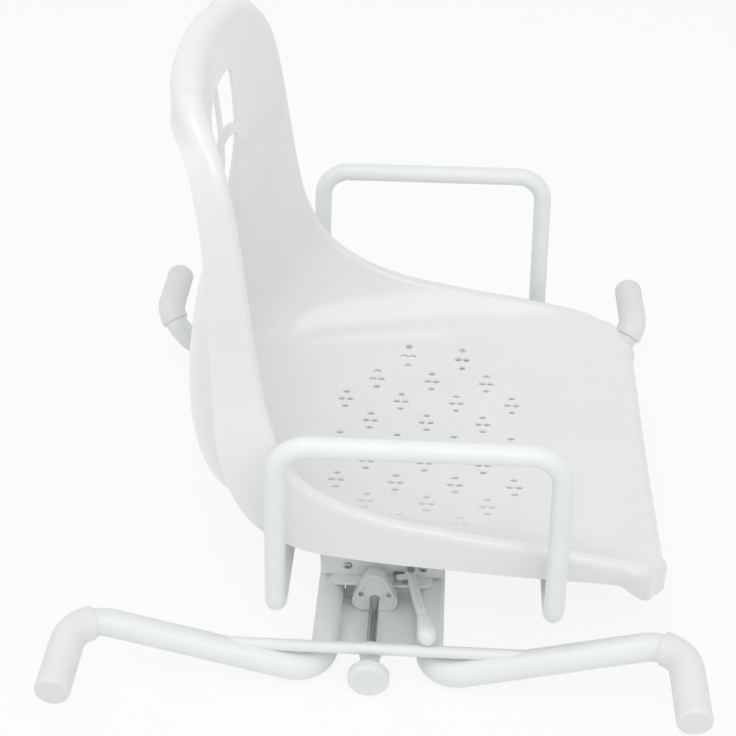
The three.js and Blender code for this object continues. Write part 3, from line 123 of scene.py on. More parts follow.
# %% Tone drift
tone_drift, g_in, g_out, place = new_group(
    "tone_drift", "Color", COLOUR,
    ("Light", COLOUR, (1, 1, 1, 1)), ("Dark", COLOUR, (0.8, 0.8, 0.8, 1)), ("Scale", FLOAT, 8.0))
noise = wire(tone_drift, "ShaderNodeTexNoise", (-600, 100), {"Detail": 3.0, "Roughness": 0.55})
stretch = wire(tone_drift, "ShaderNodeMapRange", (-200, 100), {"From Min": 0.35, "From Max": 0.65})
blend = wire(tone_drift, "ShaderNodeMix", (200, 0), data_type="RGBA")
connect(tone_drift, (place, "Object", noise, "Vector"), (g_in, "Scale", noise, "Scale"),
        (noise, "Fac", stretch, "Value"), (stretch, "Result", blend, "Factor"),
        (g_in, "Light", blend, "A"), (g_in, "Dark", blend, "B"), (blend, "Result", g_out, "Color"))
print("group:", tone_drift.name)

# %% Ripple
ripple, g_in, g_out, place = new_group(
    "ripple", "Height", FLOAT,
    ("Wave Scale", FLOAT, 12.0), ("Peel Scale", FLOAT, 900.0), ("Peel Share", FLOAT, 0.1))
waves = wire(ripple, "ShaderNodeTexNoise", (-500, 200), {"Detail": 1.0})
peel = wire(ripple, "ShaderNodeTexNoise", (-500, -100), {"Detail": 2.0})
share = wire(ripple, "ShaderNodeMath", (-200, -100), operation="MULTIPLY")
total = wire(ripple, "ShaderNodeMath", (200, 0), operation="ADD")
connect(ripple, (place, "Object", waves, "Vector"), (place, "Object", peel, "Vector"),
        (g_in, "Wave Scale", waves, "Scale"), (g_in, "Peel Scale", peel, "Scale"),
        (peel, "Fac", share, 0), (g_in, "Peel Share", share, 1),
        (waves, "Fac", total, 0), (share, "Value", total, 1), (total, "Value", g_out, "Height"))
print("group:", ripple.name)

# %% Dull patches
dull_patches, g_in, g_out, place = new_group(
    "dull_patches", "Roughness", FLOAT,
    ("Smooth", FLOAT, 0.2), ("Dull", FLOAT, 0.35), ("Scale", FLOAT, 20.0))
noise = wire(dull_patches, "ShaderNodeTexNoise", (-600, 100), {"Detail": 4.0, "Roughness": 0.6})
spread = wire(dull_patches, "ShaderNodeMapRange", (-100, 0), {"From Min": 0.3, "From Max": 0.7})
connect(dull_patches, (place, "Object", noise, "Vector"), (g_in, "Scale", noise, "Scale"),
        (noise, "Fac", spread, "Value"), (g_in, "Smooth", spread, "To Min"),
        (g_in, "Dull", spread, "To Max"), (spread, "Result", g_out, "Roughness"))
print("group:", dull_patches.name)

# %% [markdown]
# ## Finishes
# Every finish is one Principled shader. The groups above feed its colour, roughness and normal, and
# what is the same all over the surface, such as metalness or a clear coat, stands on its sockets.
# White pieces differ mostly in gloss: the moulding is glossy, the powder coat satin with a fine
# peel, the soft sleeves dull and a little warmer.

# %% Finish builder
def finish(name, light, dark, smooth, dull, bump, wave_scale, peel_scale, peel_share,
           metallic=0.0, coat=0.0, tone_scale=8.0):
    """A material of two close tones, a range of roughness and a fine relief."""
    material = bpy.data.materials.new(name)
    material.use_nodes = True
    tree = material.node_tree
    shader = tree.nodes["Principled BSDF"]
    shader.inputs["Metallic"].default_value = metallic
    shader.inputs["Coat Weight"].default_value = coat
    tones = {"Light": (*light, 1), "Dark": (*dark, 1), "Scale": tone_scale}
    scales = {"Wave Scale": wave_scale, "Peel Scale": peel_scale, "Peel Share": peel_share}
    colour = wire(tree, "ShaderNodeGroup", (-500, 300), tones, node_tree=tone_drift)
    patches = wire(tree, "ShaderNodeGroup", (-500, 50), {"Smooth": smooth, "Dull": dull},
                   node_tree=dull_patches)
    waves = wire(tree, "ShaderNodeGroup", (-700, -200), scales, node_tree=ripple)
    relief = wire(tree, "ShaderNodeBump", (-300, -200), {"Strength": 1.0, "Distance": bump})
    connect(tree, (colour, "Color", shader, "Base Color"),
            (patches, "Roughness", shader, "Roughness"),
            (waves, "Height", relief, "Height"), (relief, "Normal", shader, "Normal"))
    return material


# %% The finishes of this object
# light tone, dark tone, smoothest, dullest, bump, wave scale, peel scale, peel share
FINISH_VALUES = {
    "seat_plastic": ((0.87, 0.868, 0.862), (0.85, 0.85, 0.846), 0.16, 0.26, 0.0012, 9, 500, 0.004),
    "frame_paint": ((0.87, 0.885, 0.88), (0.84, 0.86, 0.855), 0.3, 0.42, 0.0003, 40, 700, 0.3),
    "armrest_paint": ((0.87, 0.89, 0.885), (0.84, 0.865, 0.86), 0.28, 0.4, 0.0003, 40, 700, 0.3),
    "rim_sleeve": ((0.87, 0.87, 0.86), (0.83, 0.83, 0.815), 0.45, 0.6, 0.0003, 60, 1400, 0.5),
    # plate_paint is lighter than the frame's paint: painted light, to brighten the plates that lie in
    # shade below the seat.
    "plate_paint": ((0.9, 0.925, 0.915), (0.87, 0.895, 0.888), 0.35, 0.5, 0.0003, 30, 900, 0.35),
    "fitting_plastic": ((0.85, 0.87, 0.865), (0.81, 0.835, 0.83), 0.25, 0.38, 0.0002, 60, 1200, 0.3),
    "bearing_nylon": ((0.8, 0.79, 0.74), (0.74, 0.73, 0.68), 0.4, 0.55, 0.0002, 60, 1200, 0.3),
    "rod_chrome": ((0.5, 0.5, 0.505), (0.4, 0.4, 0.405), 0.06, 0.12, 0.00008, 80, 1500, 0.1),
    "fastener_steel": ((0.5, 0.51, 0.52), (0.36, 0.37, 0.38), 0.28, 0.45, 0.0001, 120, 1800, 0.3),
}
FINISH_EXTRAS = {
    "seat_plastic": {"coat": 0.25, "tone_scale": 5.0}, "plate_paint": {"tone_scale": 14.0},
    "fitting_plastic": {"coat": 0.1}, "rod_chrome": {"metallic": 1.0},
    "fastener_steel": {"metallic": 1.0, "tone_scale": 60.0},
}
finishes = {name: finish(name, *values, **FINISH_EXTRAS.get(name, {}))
            for name, values in FINISH_VALUES.items()}
slot_of = {part["node"]: part["material_slot"] for part in frame["record"]["subparts"]}
for name, node in nodes.items():
    node.data.materials.clear()
    node.data.materials.append(finishes[slot_of[name]])
print("finishes:", sorted(finishes))

# %% [markdown]
# ## Mesh helpers
# Most pieces here are a tube bent along a route, a turned shape or a plate with softened edges. A
# curve with a bevel could make the tubes. Here they are swept in code, because the route's bends
# are known exactly and a mesh with its place in its points is what the frame asks for.

# %% Objects, modifiers and finished pieces
MERGE_DISTANCE = 0.000002


def mm(*values):
    return Vector([value * MM for value in values])


def new_mesh(name, points, faces):
    mesh = bpy.data.meshes.new(name)
    mesh.from_pydata([tuple(p) for p in points], [], [tuple(map(int, face)) for face in faces])
    return mesh


def placed(name, data):
    """A new object in the scene, at the origin."""
    obj = bpy.data.objects.new(name, data)
    bpy.context.scene.collection.objects.link(obj)
    return obj


def face_outwards(mesh, merge=None):
    """Turns the faces outwards, once points closer than merge are joined."""
    work = bmesh.new()
    work.from_mesh(mesh)
    if merge:
        bmesh.ops.remove_doubles(work, verts=work.verts, dist=merge)
    bmesh.ops.recalc_face_normals(work, faces=work.faces)
    work.to_mesh(mesh)
    work.free()


def applied(obj, modifier):
    """The mesh that a modifier makes. The modifier comes off again."""
    bpy.context.view_layer.update()
    evaluated = obj.evaluated_get(bpy.context.evaluated_depsgraph_get())
    mesh = bpy.data.meshes.new_from_object(evaluated)
    obj.modifiers.remove(modifier)
    return mesh


def cut_with(obj, tool, solver):
    """Cuts an object with a second one, which is then removed."""
    cut = obj.modifiers.new("cut", "BOOLEAN")
    cut.operation, cut.solver, cut.object = "DIFFERENCE", solver, tool
    cut.use_self = solver == "EXACT"
    obj.data = applied(obj, cut)
    bpy.data.objects.remove(tool)


def settle(obj, slot, body, *replaced, angle=32.0):
    """Outward faces, smooth shading with sharp edges kept, finish, body and replaced nodes."""
    face_outwards(obj.data, MERGE_DISTANCE)
    obj.data.polygons.foreach_set("use_smooth", [True] * len(obj.data.polygons))
    obj.data.set_sharp_from_angle(angle=math.radians(angle))
    obj.data.materials.clear()
    obj.data.materials.append(finishes[slot])
    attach(obj, body)
    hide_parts(*replaced)
    print(obj.name, "faces:", len(obj.data.polygons))


def piece(name, shell, slot, body, *replaced):
    """A finished object from points and faces. It rides on a body and stands for CAD nodes."""
    mesh = new_mesh(name, *shell)
    mesh.validate()
    settle(placed(name, mesh), slot, body, *replaced)


# %% Shells from routes and profiles
THINNEST = 0.00002


def bent_route(corners, radii, steps=14):
    """Points and directions of straight runs joined by bends, with radii in millimetres."""
    route = [(corners[0], (corners[1] - corners[0]).normalized())]
    for before, corner, after, bend in zip(corners, corners[1:], corners[2:], radii):
        radius = bend * MM
        arriving, leaving = (corner - before).normalized(), (after - corner).normalized()
        turn = arriving.angle(leaving)
        inward = (leaving - arriving * arriving.dot(leaving)).normalized()
        start = corner - arriving * radius * math.tan(turn / 2)
        for step in range(steps + 1):
            a = turn * step / steps
            point = start + arriving * radius * math.sin(a) + inward * radius * (1 - math.cos(a))
            route.append((point, arriving * math.cos(a) + inward * math.sin(a)))
    route.append((corners[-1], (corners[-1] - corners[-2]).normalized()))
    return route


def tube_faces(rings, sides):
    """Faces between closed rings of points that follow each other, with a cap at each end."""
    faces = []
    for low in range(0, (rings - 1) * sides, sides):
        high = low + sides
        faces += [(low + k, low + (k + 1) % sides, high + (k + 1) % sides, high + k)
                  for k in range(sides)]
    last = (rings - 1) * sides
    return faces + [tuple(range(sides)), tuple(range(last, last + sides))]


def sweep(route, radii, sides=40):
    """Rings round a route: one radius in metres for each of its points, closed by flat ends."""
    points = []
    across = route[0][1].orthogonal().normalized()
    for (centre, direction), radius in zip(route, radii):
        across = (across - direction * across.dot(direction)).normalized()
        other = direction.cross(across)
        for k in range(sides):
            a = 2 * math.pi * k / sides
            points.append(centre + (across * math.cos(a) + other * math.sin(a)) * radius)
    return points, tube_faces(len(route), sides)


def join_shells(*shells):
    """Several closed shells as one list of points and faces."""
    points, faces = [], []
    for shell_points, shell_faces in shells:
        offset = len(points)
        points += shell_points
        faces += [tuple(i + offset for i in face) for face in shell_faces]
    return points, faces


def turned(profile, centre, axis, sides=64):
    """A profile of (radius, height) pairs in millimetres, turned round an axis."""
    axis = Vector(axis).normalized()
    route = [(centre + axis * (height * MM), axis) for _, height in profile]
    return sweep(route, [max(radius * MM, THINNEST) for radius, _ in profile], sides)


# %% [markdown]
# ## Frame tubes
# Each tube runs along the bath's rim, bends inwards and down, passes below the seat and climbs back
# to the other rim. It was bent from one length on a bender, so every bend is a true arc. The route
# is the CAD's own, with finer steps, so the tube has no visible facets.

# %% Frame tubes
FRAME_R, RIM_X, RIM_Z, RUN_X, RUN_Z = 14.0, 299.0, 70.0, 53.5, 14.0
TUBE_END_Y, INWARD_Y, NEAR_RUN_Y, FAR_TOP_Y = 361.7, 264.0, 275.0, 268.0
FAR_FOOT_X, FAR_FOOT_Z, RIM_BEND, RUN_BEND, FAR_BEND = 268.0, 28.0, 36.0, 34.0, 30.0


def frame_route(side):
    corners = [(RIM_X, -TUBE_END_Y, RIM_Z), (RIM_X, -INWARD_Y, RIM_Z),
               (RUN_X, -NEAR_RUN_Y, RUN_Z), (RUN_X, INWARD_Y, RUN_Z),
               (FAR_FOOT_X, INWARD_Y, FAR_FOOT_Z), (RIM_X, FAR_TOP_Y, RIM_Z),
               (RIM_X, TUBE_END_Y, RIM_Z)]
    return bent_route([mm(side * x, y, z) for x, y, z in corners],
                      (RIM_BEND, RUN_BEND, RUN_BEND, FAR_BEND, FAR_BEND))


for side, label in ((-1, "rear"), (1, "front")):
    route = frame_route(side)
    tube = sweep(route, [FRAME_R * MM] * len(route), sides=48)
    piece(f"{label}_tube", tube, "frame_paint", "frame", f"{label}_frame_tube")

# %% [markdown]
# ## Sleeves
# Soft off-white sleeves grip the tube ends and half of the first bend. The closed end is slightly
# domed, and the open end has a thin rounded lip. The sleeve is a second sweep, a little thicker,
# whose rings follow the same route.

# %% Sleeves
SLEEVE_R, CAP_Y, SLEEVE_STEPS = 17.0, 365.0, 11
LIP = ((0.5, 0.15), (0.9, 0.6), (1.1, 1.4), (1.1, 2.6))  # beyond the end, off the radius
for side, label in ((-1, "rear"), (1, "front")):
    whole = frame_route(side)
    backwards = [(point, -direction) for point, direction in reversed(whole)]
    for place_name, route in (("near", whole[:SLEEVE_STEPS]), ("far", backwards[:SLEEVE_STEPS])):
        start, outward = route[0][0], -route[0][1]
        edge = CAP_Y * MM - abs(start.y)
        dome = [(start + outward * edge * math.cos(a), -outward,
                 SLEEVE_R * MM - edge * (1 - math.sin(a)))
                for a in map(math.radians, range(0, 91, 15))]
        last, onward = route[-1]
        lip = [(last + onward * h * MM, onward, (SLEEVE_R - cut) * MM) for h, cut in LIP]
        rings = dome + [(p, d, SLEEVE_R * MM) for p, d in route[1:]] + lip
        sleeve = sweep([(p, d) for p, d, _ in rings], [r for _, _, r in rings], sides=48)
        piece(f"{place_name}_{label}_rim_sleeve", sleeve, "rim_sleeve", "frame",
              f"{place_name}_{label}_sleeve")

# %% [markdown]
# ## Cross bars and armrests
# Thin bars tie the two frame tubes together, and thinner tube makes the armrests: a top bar, two
# posts and two feet that turn in below the seat.

# %% Cross bars
BAR_END = ((-2.5, 6.0), (-1.0, 5.6), (0.0, 4.6))  # along the bar from its end, radius
for label, reach, y, z in (("near", 150.0, -266.5, 43.0), ("far", 176.0, 284.6, 19.0)):
    half = [(r, reach + x) for x, r in BAR_END]
    bar = turned([(r, -x) for r, x in reversed(half)] + half, mm(0, y, z), (1, 0, 0), 40)
    piece(f"{label}_tie_bar", bar, "frame_paint", "frame", f"{label}_cross_bar")

# %% Armrests
ARM_R, ARM_REAR, ARM_FRONT, ARM_Y, ARM_INNER = 10.0, -92.0, 168.0, 258.0, 68.0
ARM_REAR_FOOT, ARM_FRONT_FOOT = -100.0, 173.0
ARM_LOW, ARM_TOP, ARM_LOW_BEND, ARM_TOP_BEND = 78.2, 291.7, 30.0, 32.0
for side, label in ((-1, "near"), (1, "far")):
    corners = [(ARM_REAR_FOOT, ARM_INNER, ARM_LOW), (ARM_REAR_FOOT, ARM_Y, ARM_LOW),
               (ARM_REAR, ARM_Y, ARM_TOP), (ARM_FRONT, ARM_Y, ARM_TOP),
               (ARM_FRONT_FOOT, ARM_Y, ARM_LOW), (ARM_FRONT_FOOT, ARM_INNER, ARM_LOW)]
    route = bent_route([mm(x, side * y, z) for x, y, z in corners],
                       (ARM_LOW_BEND, ARM_TOP_BEND, ARM_TOP_BEND, ARM_LOW_BEND), steps=16)
    tube = sweep(route, [ARM_R * MM] * len(route))
    piece(f"{label}_arm_tube", tube, "armrest_paint", "seat", f"{label}_armrest")

# %% [markdown]
# ## The moulded seat
# The shell is one moulding: a flat pan with sides that stand up, a back that curls forward at its
# edges, and a rim that rolls over into a skirt. Sculpting it or shaping a subdivision cage by hand
# would be guesswork, so its shape follows a rule, the same as in the CAD. Stations run from the
# front edge to the top edge. Each gives a point on the centre line, a point on the rim and the
# shape of the rolled edge, and the surface blends between them.

# %% Stations of the seat
# centre line x, z; rim x, z; half width; skirt drop; lean; sweep; roll, all as shares
STATION_SHARES = np.array([
    [0.000, 0.002, -0.006, 0.030, 0.840, 0.606, 0.000, 0.50, 1.00],
    [0.010, 0.001, 0.000, 0.037, 0.915, 0.642, 0.000, 0.50, 0.88],
    [0.031, 0.000, 0.019, 0.052, 0.962, 0.597, 0.000, 0.50, 0.71],
    [0.061, 0.000, 0.063, 0.067, 0.982, 0.400, 0.000, 0.50, 0.56],
    [0.101, 0.000, 0.101, 0.080, 1.000, 0.380, 0.000, 0.50, 0.47],
    [0.189, 0.000, 0.189, 0.099, 1.000, 0.470, 0.000, 0.50, 0.47],
    [0.273, 0.000, 0.273, 0.115, 1.000, 0.540, 0.000, 0.50, 0.47],
    [0.356, 0.000, 0.356, 0.127, 1.000, 0.582, 0.000, 0.50, 0.47],
    [0.440, 0.000, 0.440, 0.143, 1.000, 0.633, 0.000, 0.50, 0.47],
    [0.535, 0.000, 0.524, 0.160, 1.000, 0.700, 0.030, 0.50, 0.47],
    [0.644, 0.001, 0.608, 0.189, 1.000, 0.820, 0.110, 0.50, 0.47],
    [0.765, 0.004, 0.671, 0.221, 1.000, 0.955, 0.245, 0.50, 0.47],
    [0.874, 0.011, 0.723, 0.263, 0.998, 0.985, 0.425, 0.50, 0.47],
    [0.958, 0.052, 0.759, 0.315, 0.981, 0.866, 0.635, 0.50, 0.47],
    [0.996, 0.143, 0.778, 0.371, 0.948, 0.776, 0.790, 0.50, 0.47],
    [0.998, 0.270, 0.795, 0.443, 0.898, 0.672, 0.935, 0.50, 0.47],
    [0.975, 0.421, 0.807, 0.536, 0.863, 0.597, 1.000, 0.50, 0.47],
    [0.937, 0.583, 0.818, 0.659, 0.836, 0.537, 1.000, 0.50, 0.47],
    [0.910, 0.724, 0.828, 0.771, 0.810, 0.478, 1.000, 0.50, 0.50],
    [0.908, 0.821, 0.839, 0.855, 0.782, 0.463, 1.000, 0.53, 0.56],
    [0.912, 0.896, 0.853, 0.914, 0.735, 0.448, 1.000, 0.61, 0.65],
    [0.916, 0.950, 0.872, 0.957, 0.659, 0.463, 1.000, 0.75, 0.77],
    [0.919, 0.983, 0.891, 0.983, 0.559, 0.493, 1.000, 0.89, 0.85],
    [0.920, 1.000, 0.904, 0.994, 0.445, 0.507, 1.000, 1.00, 0.91],
])
EDGE_X, SEAT_DEPTH, PAN_Z, BACK_RISE = 270.0, 480.0, 92.6, 463.0
HALF_WIDTH, SKIRT_DROP, ROLL_R, WALL, TOP_SKIRT = 211.0, 67.0, 17.0, 4.0, 18.0
print("stations:", len(STATION_SHARES))

# %% Surface of the seat
def spline(values, t):
    """A smooth curve through rows of values, at shares t of the way along."""
    values = np.asarray(values, float)
    padded = np.vstack([2 * values[0] - values[1], values, 2 * values[-1] - values[-2]])
    at = np.clip(np.asarray(t, float) * (len(values) - 1), 0, len(values) - 1)
    seg = np.minimum(at.astype(int), len(values) - 2)
    u = (at - seg)[..., None]
    p0, p1, p2, p3 = (padded[seg + k] for k in range(4))
    m1, m2 = (p2 - p0) / 2, (p3 - p1) / 2
    return ((2 * p1 - 2 * p2 + m1 + m2) * u + (3 * p2 - 3 * p1 - 2 * m1 - m2)) * u * u + m1 * u + p1


def smoothstep(value, low, high):
    x = np.clip((value - low) / (high - low), 0, 1)
    return x * x * (3 - 2 * x)


S = STATION_SHARES
SPINE = np.stack([EDGE_X - S[:, 0] * SEAT_DEPTH, 0 * S[:, 0], PAN_Z + S[:, 1] * BACK_RISE], 1)
RIM = np.stack([EDGE_X - S[:, 2] * SEAT_DEPTH, S[:, 4] * HALF_WIDTH, PAN_Z + S[:, 3] * BACK_RISE], 1)
SKIRT = np.stack([S[:, 5] * SKIRT_DROP, S[:, 6] * math.pi / 2, S[:, 7] * math.pi,
                  S[:, 8] * ROLL_R], 1)
EDGE_POWER, PAN_POWER, BACK_POWER = 2.2, 5.5, 2.3  # how late the sides rise, from the middle out
PAN_STARTS, BACK_STARTS, BACK_ENDS, CROWN = 0.2, 0.42, 0.66, 0.2


def seat_point(t, v):
    """Point of the sitting surface: t from front edge to top edge, v from -1 near to 1 far."""
    t, v = np.broadcast_arrays(np.asarray(t, float), np.asarray(v, float))
    spine, rim = spline(SPINE, t), spline(RIM, t)
    rise = smoothstep(t, BACK_STARTS, BACK_ENDS)
    front = EDGE_POWER + (PAN_POWER - EDGE_POWER) * smoothstep(t, 0, PAN_STARTS)
    power = front + (BACK_POWER - front) * rise
    crown = CROWN * (1 - rise)
    share = crown * v ** 2 + (1 - crown) * np.abs(v) ** power
    x = spine[..., 0] + (rim[..., 0] - spine[..., 0]) * share
    z = spine[..., 2] + (rim[..., 2] - spine[..., 2]) * share
    return np.stack([x, v * rim[..., 1], z], -1)


def unit(vectors):
    return vectors / np.linalg.norm(vectors, axis=-1, keepdims=True)


def seat_normal(t, v, step=0.002):
    ahead, behind = np.clip(t + step, 0, 1), np.clip(t - step, 0, 1)
    right, left = np.clip(v + step, -1, 1), np.clip(v - step, -1, 1)
    return unit(np.cross(seat_point(t, right) - seat_point(t, left),
                         seat_point(ahead, v) - seat_point(behind, v)))


print("pan centre:", seat_point(0.4, 0.0).round(1), "top:", seat_point(1.0, 0.0).round(1))

# %% [markdown]
# The rim rolls over and drops into the skirt. For each rim point the roll is an arc that starts in
# line with the surface and ends straight down, straight back or hooked under, as the station says.
# The inner wall uses the same centres and a smaller radius, so the wall keeps its thickness.

# %% Mesh of the seat
ROWS_PER_STATION, HALF_COLUMNS, ROLL_STEPS = 4, 30, 9
ROLL_STARTS_FROM, ROLL_STARTS_TO = -math.pi / 8, math.pi / 2.6


def dot(a, b):
    return (a * b).sum(1)


rows = (len(S) - 1) * ROWS_PER_STATION
t_rows = np.linspace(0, 1, rows + 1)
v_columns = np.sin(np.linspace(-1, 1, HALF_COLUMNS * 2 + 1) * math.pi / 2)
columns = len(v_columns) - 1
grid_t, grid_v = np.meshgrid(t_rows, v_columns, indexing="ij")
upper = seat_point(grid_t, grid_v)
lower = upper - seat_normal(grid_t, grid_v) * WALL
loop = ([(0, j) for j in range(columns)] + [(i, columns) for i in range(rows)]
        + [(rows, j) for j in range(columns, 0, -1)] + [(i, 0) for i in range(rows, 0, -1)])
loop_i, loop_j = np.array(loop).T
rim_points = upper[loop_i, loop_j]
loop_t = t_rows[loop_i]
drop, lean, turn, roll = spline(SKIRT, loop_t).T
down = np.stack([-np.sin(lean), 0 * lean, -np.cos(lean)], 1)
along = np.roll(rim_points, -1, 0) - np.roll(rim_points, 1, 0)
out = unit(np.cross(down, along))
normal = seat_normal(loop_t, v_columns[loop_j])
start = np.clip(np.arctan2(-dot(normal, out), -dot(normal, down)), ROLL_STARTS_FROM, ROLL_STARTS_TO)
centre = (rim_points + out * (roll * np.sin(start))[:, None]
          + down * (roll * np.cos(start))[:, None])
rim_height = spline(RIM, loop_t)[:, 2]
hooked = np.clip(turn / math.pi * 2 - 1, 0, 1)
plain = drop - (rim_height - rim_points[:, 2]) * np.cos(lean) - roll * np.cos(start)
hanging = np.where(loop_i == rows, drop - roll, plain)
straight = hanging * (1 - hooked) + TOP_SKIRT * hooked
travel = out * np.cos(turn)[:, None] + down * np.sin(turn)[:, None]


def edge_chain(radius):
    """Points of the roll and the skirt for every rim point, at one distance from the centre."""
    rings = []
    for share in np.linspace(0, 1, ROLL_STEPS + 1):
        a = start + (-turn - start) * share
        sideways, upwards = (radius * np.sin(a))[:, None], (radius * np.cos(a))[:, None]
        rings.append(centre - out * sideways - down * upwards)
    for share in (0.34, 0.67, 1.0):
        rings.append(rings[ROLL_STEPS] + travel * (straight * share)[:, None])
    return rings


outer_chain, inner_chain = edge_chain(roll), edge_chain(roll - WALL)
print("grid:", rows, "by", columns, "rim points:", len(loop))

# %% Assemble the seat
points, faces = [], []


def add_points(array):
    """Adds an array of points and returns their numbers in the array's shape."""
    first = len(points)
    points.extend(array.reshape(-1, 3))
    return np.arange(first, len(points)).reshape(array.shape[:-1])


upper_ids = add_points(upper)
lower[loop_i, loop_j] = inner_chain[0]
lower_ids = add_points(lower)
for i in range(rows):
    for j in range(columns):
        for ids, corners in ((upper_ids, ((0, 0), (0, 1), (1, 1), (1, 0))),
                             (lower_ids, ((0, 0), (1, 0), (1, 1), (0, 1)))):
            faces.append([ids[i + di, j + dj] for di, dj in corners])
outer_ids = [upper_ids[loop_i, loop_j]] + [add_points(ring) for ring in outer_chain[1:]]
inner_ids = [lower_ids[loop_i, loop_j]] + [add_points(ring) for ring in inner_chain[1:]]
for k in range(len(loop)):
    n = (k + 1) % len(loop)
    for ring, below in zip(outer_ids, outer_ids[1:]):
        faces.append((ring[k], below[k], below[n], ring[n]))
    for ring, below in zip(inner_ids, inner_ids[1:]):
        faces.append((ring[k], ring[n], below[n], below[k]))
    faces.append((outer_ids[-1][k], inner_ids[-1][k], inner_ids[-1][n], outer_ids[-1][n]))
mesh = new_mesh("seat_body", np.array(points) * MM, faces)
mesh.validate()
face_outwards(mesh)
seat = placed("moulded_seat", mesh)
print("seat points:", len(points), "faces:", len(faces))

# %% [markdown]
# ## Drain holes
# Water drains through clusters of four oval holes. One funnel-shaped cutter is instanced on every
# hole's place by a Geometry Nodes tree, turned to stand on the curved pan, and one Boolean cuts
# them all. The tree's inputs are the hole's two widths, its depth and how far its mouth flares.

# %% Places of the drain holes
CLUSTERS_PER_ROW = (2, 3, 4, 3, 4, 3, 4, 3, 2)
PATTERN_X, CLUSTER_PITCH, ROW_PITCH, ROW_SHIFT = 40.0, 64.3, 36.1, 8.0
PAIR_X, PAIR_Y = 4.9, 12.4
GUESSES, GUESS_LENGTH = 40, 900.0


def pan_share(x, y):
    """The t and v of the pan's point above or below a place, by repeated guessing."""
    t = np.full_like(x, 0.4)
    for _ in range(GUESSES):
        v = y / spline(RIM, t)[:, 1]
        t = np.clip(t + (seat_point(t, v)[:, 0] - x) / GUESS_LENGTH, 0, 1)
    return t, v


places = []
middle = len(CLUSTERS_PER_ROW) // 2
for row, cluster_count in enumerate(CLUSTERS_PER_ROW):
    shift = ROW_SHIFT * ((row - middle) / middle) ** 2
    y = (row - middle) * ROW_PITCH
    for n in range(cluster_count):
        x = PATTERN_X + (n - (cluster_count - 1) / 2) * CLUSTER_PITCH + shift
        places += [(x - PAIR_X, y), (x + PAIR_X, y), (x, y - PAIR_Y), (x, y + PAIR_Y)]
hole_x, hole_y = np.array(places).T
hole_t, hole_v = pan_share(hole_x, hole_y)
hole_points = seat_point(hole_t, hole_v)
hole_normals = seat_normal(hole_t, hole_v)
print("drain holes:", len(places), "worst miss mm:", np.abs(hole_points[:, 0] - hole_x).max().round(3))

# %% Geometry Nodes trees that put a shape on points
def new_tree(name, *inputs):
    """A geometry tree with its two ends and the identifiers of its further inputs."""
    tree = bpy.data.node_groups.new(name, "GeometryNodeTree")
    identifiers = new_sockets(tree, "INPUT", ("Geometry", GEOMETRY), *inputs)
    new_sockets(tree, "OUTPUT", ("Geometry", GEOMETRY))
    return (tree, wire(tree, "NodeGroupInput", (-1400, 0)),
            wire(tree, "NodeGroupOutput", (900, 0)), identifiers[1:])


def shape_on_points(tree, g_in, g_out, shape, rotation):
    """Ends a tree: a shape on every point, turned, made into real meshes with a finish."""
    stand = wire(tree, "GeometryNodeInstanceOnPoints", (250, 100))
    realize = wire(tree, "GeometryNodeRealizeInstances", (450, 100))
    painted = wire(tree, "GeometryNodeSetMaterial", (650, 100))
    connect(tree, (g_in, "Geometry", stand, "Points"), (*shape, stand, "Instance"),
            (*rotation, stand, "Rotation"), (stand, "Instances", realize, "Geometry"),
            (realize, "Geometry", painted, "Geometry"), (g_in, "Finish", painted, "Material"),
            (painted, "Geometry", g_out, "Geometry"))
    print("tree:", tree.name, "nodes:", len(tree.nodes))


def run_tree(tree, mesh, identifiers, values):
    """Puts a tree on a mesh of points, sets its inputs and returns the plain mesh it makes."""
    carrier = placed(mesh.name, mesh)
    modifier = carrier.modifiers.new("tree", "NODES")
    modifier.node_group = tree
    for identifier, value in zip(identifiers, values):
        modifier[identifier] = value
    result = applied(carrier, modifier)
    bpy.data.objects.remove(carrier)
    return result


# %% Tree for the perforation
HOLE_INPUTS = {"Hole Length": 0.0070, "Hole Width": 0.0042, "Depth": 0.020, "Flare": 0.5}
CUTTER_SHAPE = {"Vertices": 20, "Side Segments": 40, "Radius": 0.5}
MOUTH_SHAPE = {"From Min": -0.0018, "From Max": 0.0006, "To Min": 1.0}
perforation, g_in, g_out, hole_keys = new_tree(
    "drain_perforation", *((label, FLOAT, value) for label, value in HOLE_INPUTS.items()),
    ("Finish", "NodeSocketMaterial"))
cylinder = wire(perforation, "GeometryNodeMeshCylinder", (-1100, 200), CUTTER_SHAPE)
position = wire(perforation, "GeometryNodeInputPosition", (-1100, -100))
split = wire(perforation, "ShaderNodeSeparateXYZ", (-950, -100))
mouth = wire(perforation, "ShaderNodeMapRange", (-750, -100), MOUTH_SHAPE,
             interpolation_type="SMOOTHSTEP")
wider = wire(perforation, "ShaderNodeMath", (-950, -300), {1: 1.0}, operation="ADD")
widths = wire(perforation, "ShaderNodeCombineXYZ", (-750, -300), {"Z": 1.0})
spreading = wire(perforation, "ShaderNodeCombineXYZ", (-550, -100), {"Z": 1.0})
scaled = wire(perforation, "ShaderNodeVectorMath", (-350, -100), operation="MULTIPLY")
sized = wire(perforation, "ShaderNodeVectorMath", (-150, -100), operation="MULTIPLY")
shaped = wire(perforation, "GeometryNodeSetPosition", (0, 200))
tilt = wire(perforation, "GeometryNodeInputNamedAttribute", (-350, -350), {"Name": "tilt"},
            data_type="FLOAT_VECTOR")
turn_to = wire(perforation, "FunctionNodeAlignRotationToVector", (-150, -350), axis="Z")
